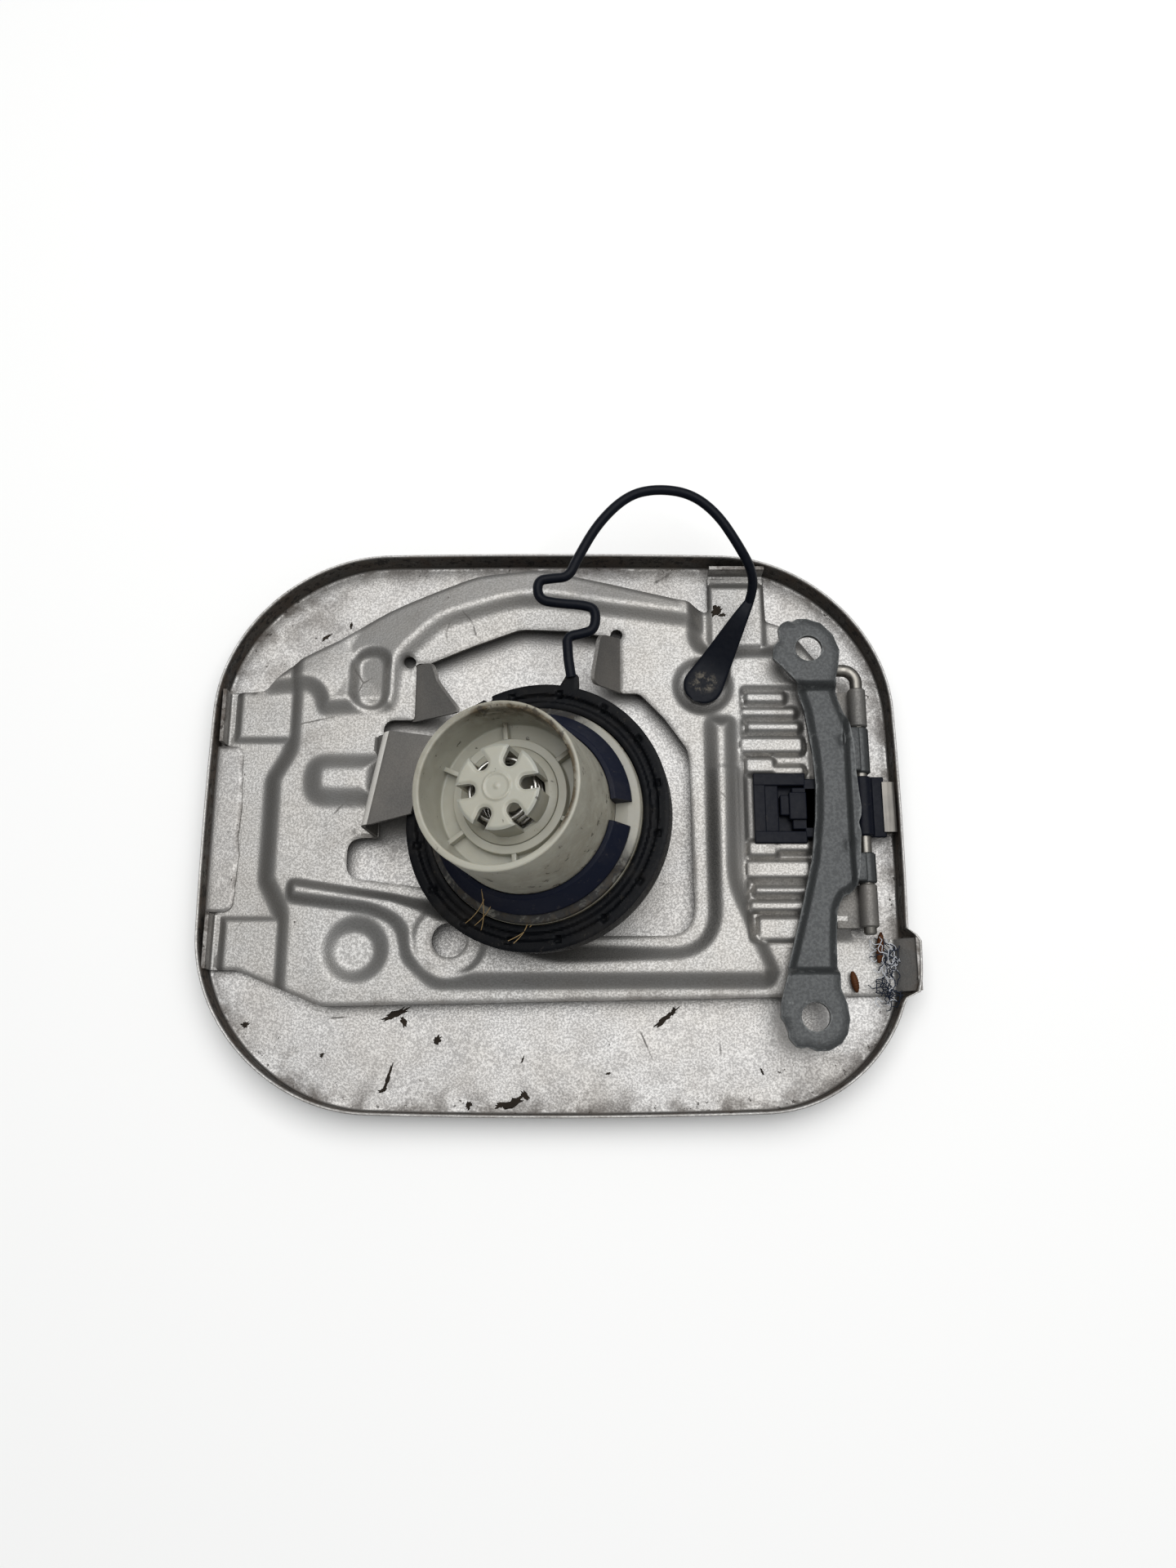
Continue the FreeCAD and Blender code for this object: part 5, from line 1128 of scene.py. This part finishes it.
# Flakes on the skin: x, y, length, width, turn and seed
FLAKES = (
    (-39.3, -48.6, 7.0, 1.8, 0.4, 1), (-37.2, -50.4, 3.0, 1.4, 1.9, 2), (-28.6, -54.8, 2.4, 1.8, 0.8, 3),
    (-40.5, -64.3, 6.5, 0.9, 1.3, 4), (-41.6, -67.0, 2.2, 1.0, 0.3, 5), (-20.3, -70.6, 2.2, 1.4, 1.0, 6),
    (-9.6, -70.0, 6.5, 1.8, 0.5, 7), (-6.4, -68.4, 3.0, 1.4, 2.2, 8), (-12.6, -70.6, 3.0, 1.2, 0.2, 9),
    (28.6, -49.4, 7.0, 1.3, 0.7, 10), (30.4, -47.8, 2.4, 1.0, 1.4, 11), (-76.5, -51.2, 2.0, 1.6, 0.5, 12),
    (-7.2, -59.6, 1.8, 0.5, 1.2, 13), (14.0, -63.0, 1.3, 0.5, 0.2, 14), (52.0, -62.5, 1.6, 0.6, 2.0, 15),
    (-57.0, -58.5, 1.4, 0.8, 0.9, 16), (-62.0, 52.0, 3.2, 1.0, 0.6, 17), (-55.5, 55.5, 1.8, 0.7, 1.4, 18))
PAD_FLAKES = ((43.7, 58.6, 3.6, 2.4, 0.9, 30), (45.2, 57.2, 1.8, 1.2, 0.2, 31))
flakes = [flake(*values) for values in FLAKES] + [flake(*values, PAD) for values in PAD_FLAKES]
piece("dirt_flakes", joined(*flakes), FLAKE_FINISH, "door", (), 30)
cases = joined(insect_case((82.2, -32.4, 5.9), 8.0, 1.45), insect_case((75.4, -40.9, 5.8), 5.5, 1.75))
piece("insect_cases", cases, CASE_FINISH, "door", (), 60)
dark_lint = curls(26, 41, (80.5, -46.0, 5.6), (85.5, -31.5, 6.4), 11.0, 0.13)
piece("lint_dark", dark_lint, LINT_DARK, "door")
pale_lint = curls(18, 42, (80.5, -46.0, 5.6), (85.5, -32.0, 6.6), 9.0, 0.11)
piece("lint_pale", pale_lint, LINT_PALE, "door")

# Web under the ring: straight threads between two points, each sagging as half a sine wave
WEB_ENDS = (
    ((-14.6, -22.4, 29.5), (-22.5, -29.5, 19.2)), ((-12.4, -23.0, 29.8), (-20.8, -30.5, 19.4)),
    ((-15.8, -21.6, 30.2), (-17.2, -31.9, 20.6)), ((-4.6, -26.2, 27.5), (-8.5, -33.6, 25.0)),
    ((-2.2, -26.6, 27.4), (-9.8, -33.0, 24.8)))
WEB_SAG = (0.8, -0.5, -0.7)
t = np.linspace(0, 1, 12)[:, None]
web = [tube(start + t * np.subtract(end, start) + np.sin(math.pi * t) * WEB_SAG, 0.1, 5)
       for start, end in WEB_ENDS]
piece("web_strands", joined(*web), LINT_TAN, "door")


# Pin and leaf spring of the hinge: the pin runs up the hinge line and turns inwards in a quarter circle

PIN_BEND = 3.5
PIN_TOP = 40.0
PIN_LOW = -29.5
PIN_RADIUS = 1.6
PIN_END_RADIUS = 1.3
corner = np.radians(np.linspace(0, 90, 19))
pin_xy = np.concatenate([
    [(0, PIN_LOW), (0, PIN_LOW + 0.4), (0, 15.0)],
    np.stack([PIN_BEND * (np.cos(corner) - 1), PIN_TOP + PIN_BEND * (np.sin(corner) - 1)], 1),
    [(-7.1, PIN_TOP), (-7.5, PIN_TOP)]])
pin_path = np.column_stack([pin_xy, np.zeros(len(pin_xy))]) + (HINGE_X, 0, HINGE_Z)
pin_radius = np.full(len(pin_path), PIN_RADIUS)
pin_radius[[0, -1]] = PIN_END_RADIUS
piece("pin_wire", tube(pin_path, pin_radius, 24), PIN_FINISH, "door", ("hinge_pin",), 50)
leaf_line = [(84.2, 10.0), (85.2, 10.1), (87.4, 10.1), (87.5, 7.2), (85.6, 7.0)]
leaf_spring = bent_strip(leaf_line, 0.5, -3.6, 9.4, 1.5)
piece("leaf_curl", leaf_spring, LEAF_FINISH, "door", ("check_spring",), 50)


# Springs of the two valves: the large one rides on the plug, the small one on the vacuum valve

def coil(radius, wire, low, high, turns):
    """Round wire along a helix round the cap's axis: its turn and its height grow evenly together."""
    t = np.linspace(0, 1, turns * 36 + 1)
    turn = 2 * math.pi * turns * t
    heights = low + wire / 2 + (high - low - wire) * t
    path = capped(np.stack([radius * np.cos(turn), radius * np.sin(turn), heights], 1))
    return tube(path, wire / 2, 10)


PLATE_TOP = 11.0
RETAINER_UNDER = 27.0
RELIEF_HEAD = 18.0
large = piece("vacuum_coil", coil(7.4, 1.0, PLATE_TOP, RETAINER_UNDER, 5), SPRING_FINISH, "cap_plug",
              ("vacuum_spring",), 60)
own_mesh(large)
small = piece("relief_coil", coil(3.0, 0.6, PLATE_TOP, RELIEF_HEAD, 4), SPRING_FINISH, "vacuum",
              ("relief_spring",), 60)
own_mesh(small)

# Solids that keep their shape and take a finish
for solid, finish in (
        ("cap_shell", SHELL_FINISH), ("torque_plate", INNER_FINISH), ("body_cover", INNER_FINISH),
        ("valve_seal", RUBBER_FINISH), ("vacuum_valve", INNER_FINISH), ("relief_valve", INNER_FINISH)):
    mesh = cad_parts[solid].data
    mesh.materials.clear()
    mesh.materials.append(finish)


# Stage

FLOOR_LEVEL = -0.3 * MM
CAMERA_PLACE = (9.0, -66.6, 302.1)
CAMERA_PITCH = math.radians(14.5)


def floor():
    """White board, matt, just under the door."""
    material, tree, *_ = started("floor")
    surface = node(tree, "BsdfPrincipled", "BSDF", {"Base Color": linear("f7f7f6"), "Roughness": 0.8})
    node(tree, "OutputMaterial", 0, {"Surface": surface})
    mesh = bpy.data.meshes.new("floor")
    mesh.from_pydata([(x, y, FLOOR_LEVEL) for x, y in ((-3, -3), (3, -3), (3, 3), (-3, 3))], [], [[0, 1, 2, 3]])
    mesh.materials.append(material)
    obj = bpy.data.objects.new("floor", mesh)
    bpy.context.scene.collection.objects.link(obj)


def softbox(name, place, target, size, power):
    """Area light at a place, facing a target."""
    light = bpy.data.lights.new(name, "AREA")
    light.shape = "RECTANGLE"
    light.size, light.size_y = size
    light.energy = power
    obj = bpy.data.objects.new(name, light)
    bpy.context.scene.collection.objects.link(obj)
    obj.location = place
    obj.rotation_euler = (Vector(target) - Vector(place)).to_track_quat("-Z", "Y").to_euler()


floor()
softbox("ceiling", (0.1, 0.21, 0.94), (0, 0.02, 0), (1.1, 0.95), 10.2)
world = bpy.data.worlds.new("studio")
world.use_nodes = True
world.node_tree.nodes["Background"].inputs["Color"].default_value = linear("f2f3f4")
world.node_tree.nodes["Background"].inputs["Strength"].default_value = 0.34
bpy.context.scene.world = world
bpy.context.scene.view_settings.view_transform = "Standard"

# Camera of the photograph: a hand-held phone above the lower edge of the door
lens = bpy.data.cameras.new("camera")
lens.lens = 27.04
lens.sensor_width = 36.0
lens.clip_start = 0.01
camera = bpy.data.objects.new("camera", lens)
bpy.context.scene.collection.objects.link(camera)
camera.location = framed([CAMERA_PLACE])[0]
camera.rotation_euler = (CAMERA_PITCH, 0, 0)
bpy.context.scene.camera = camera
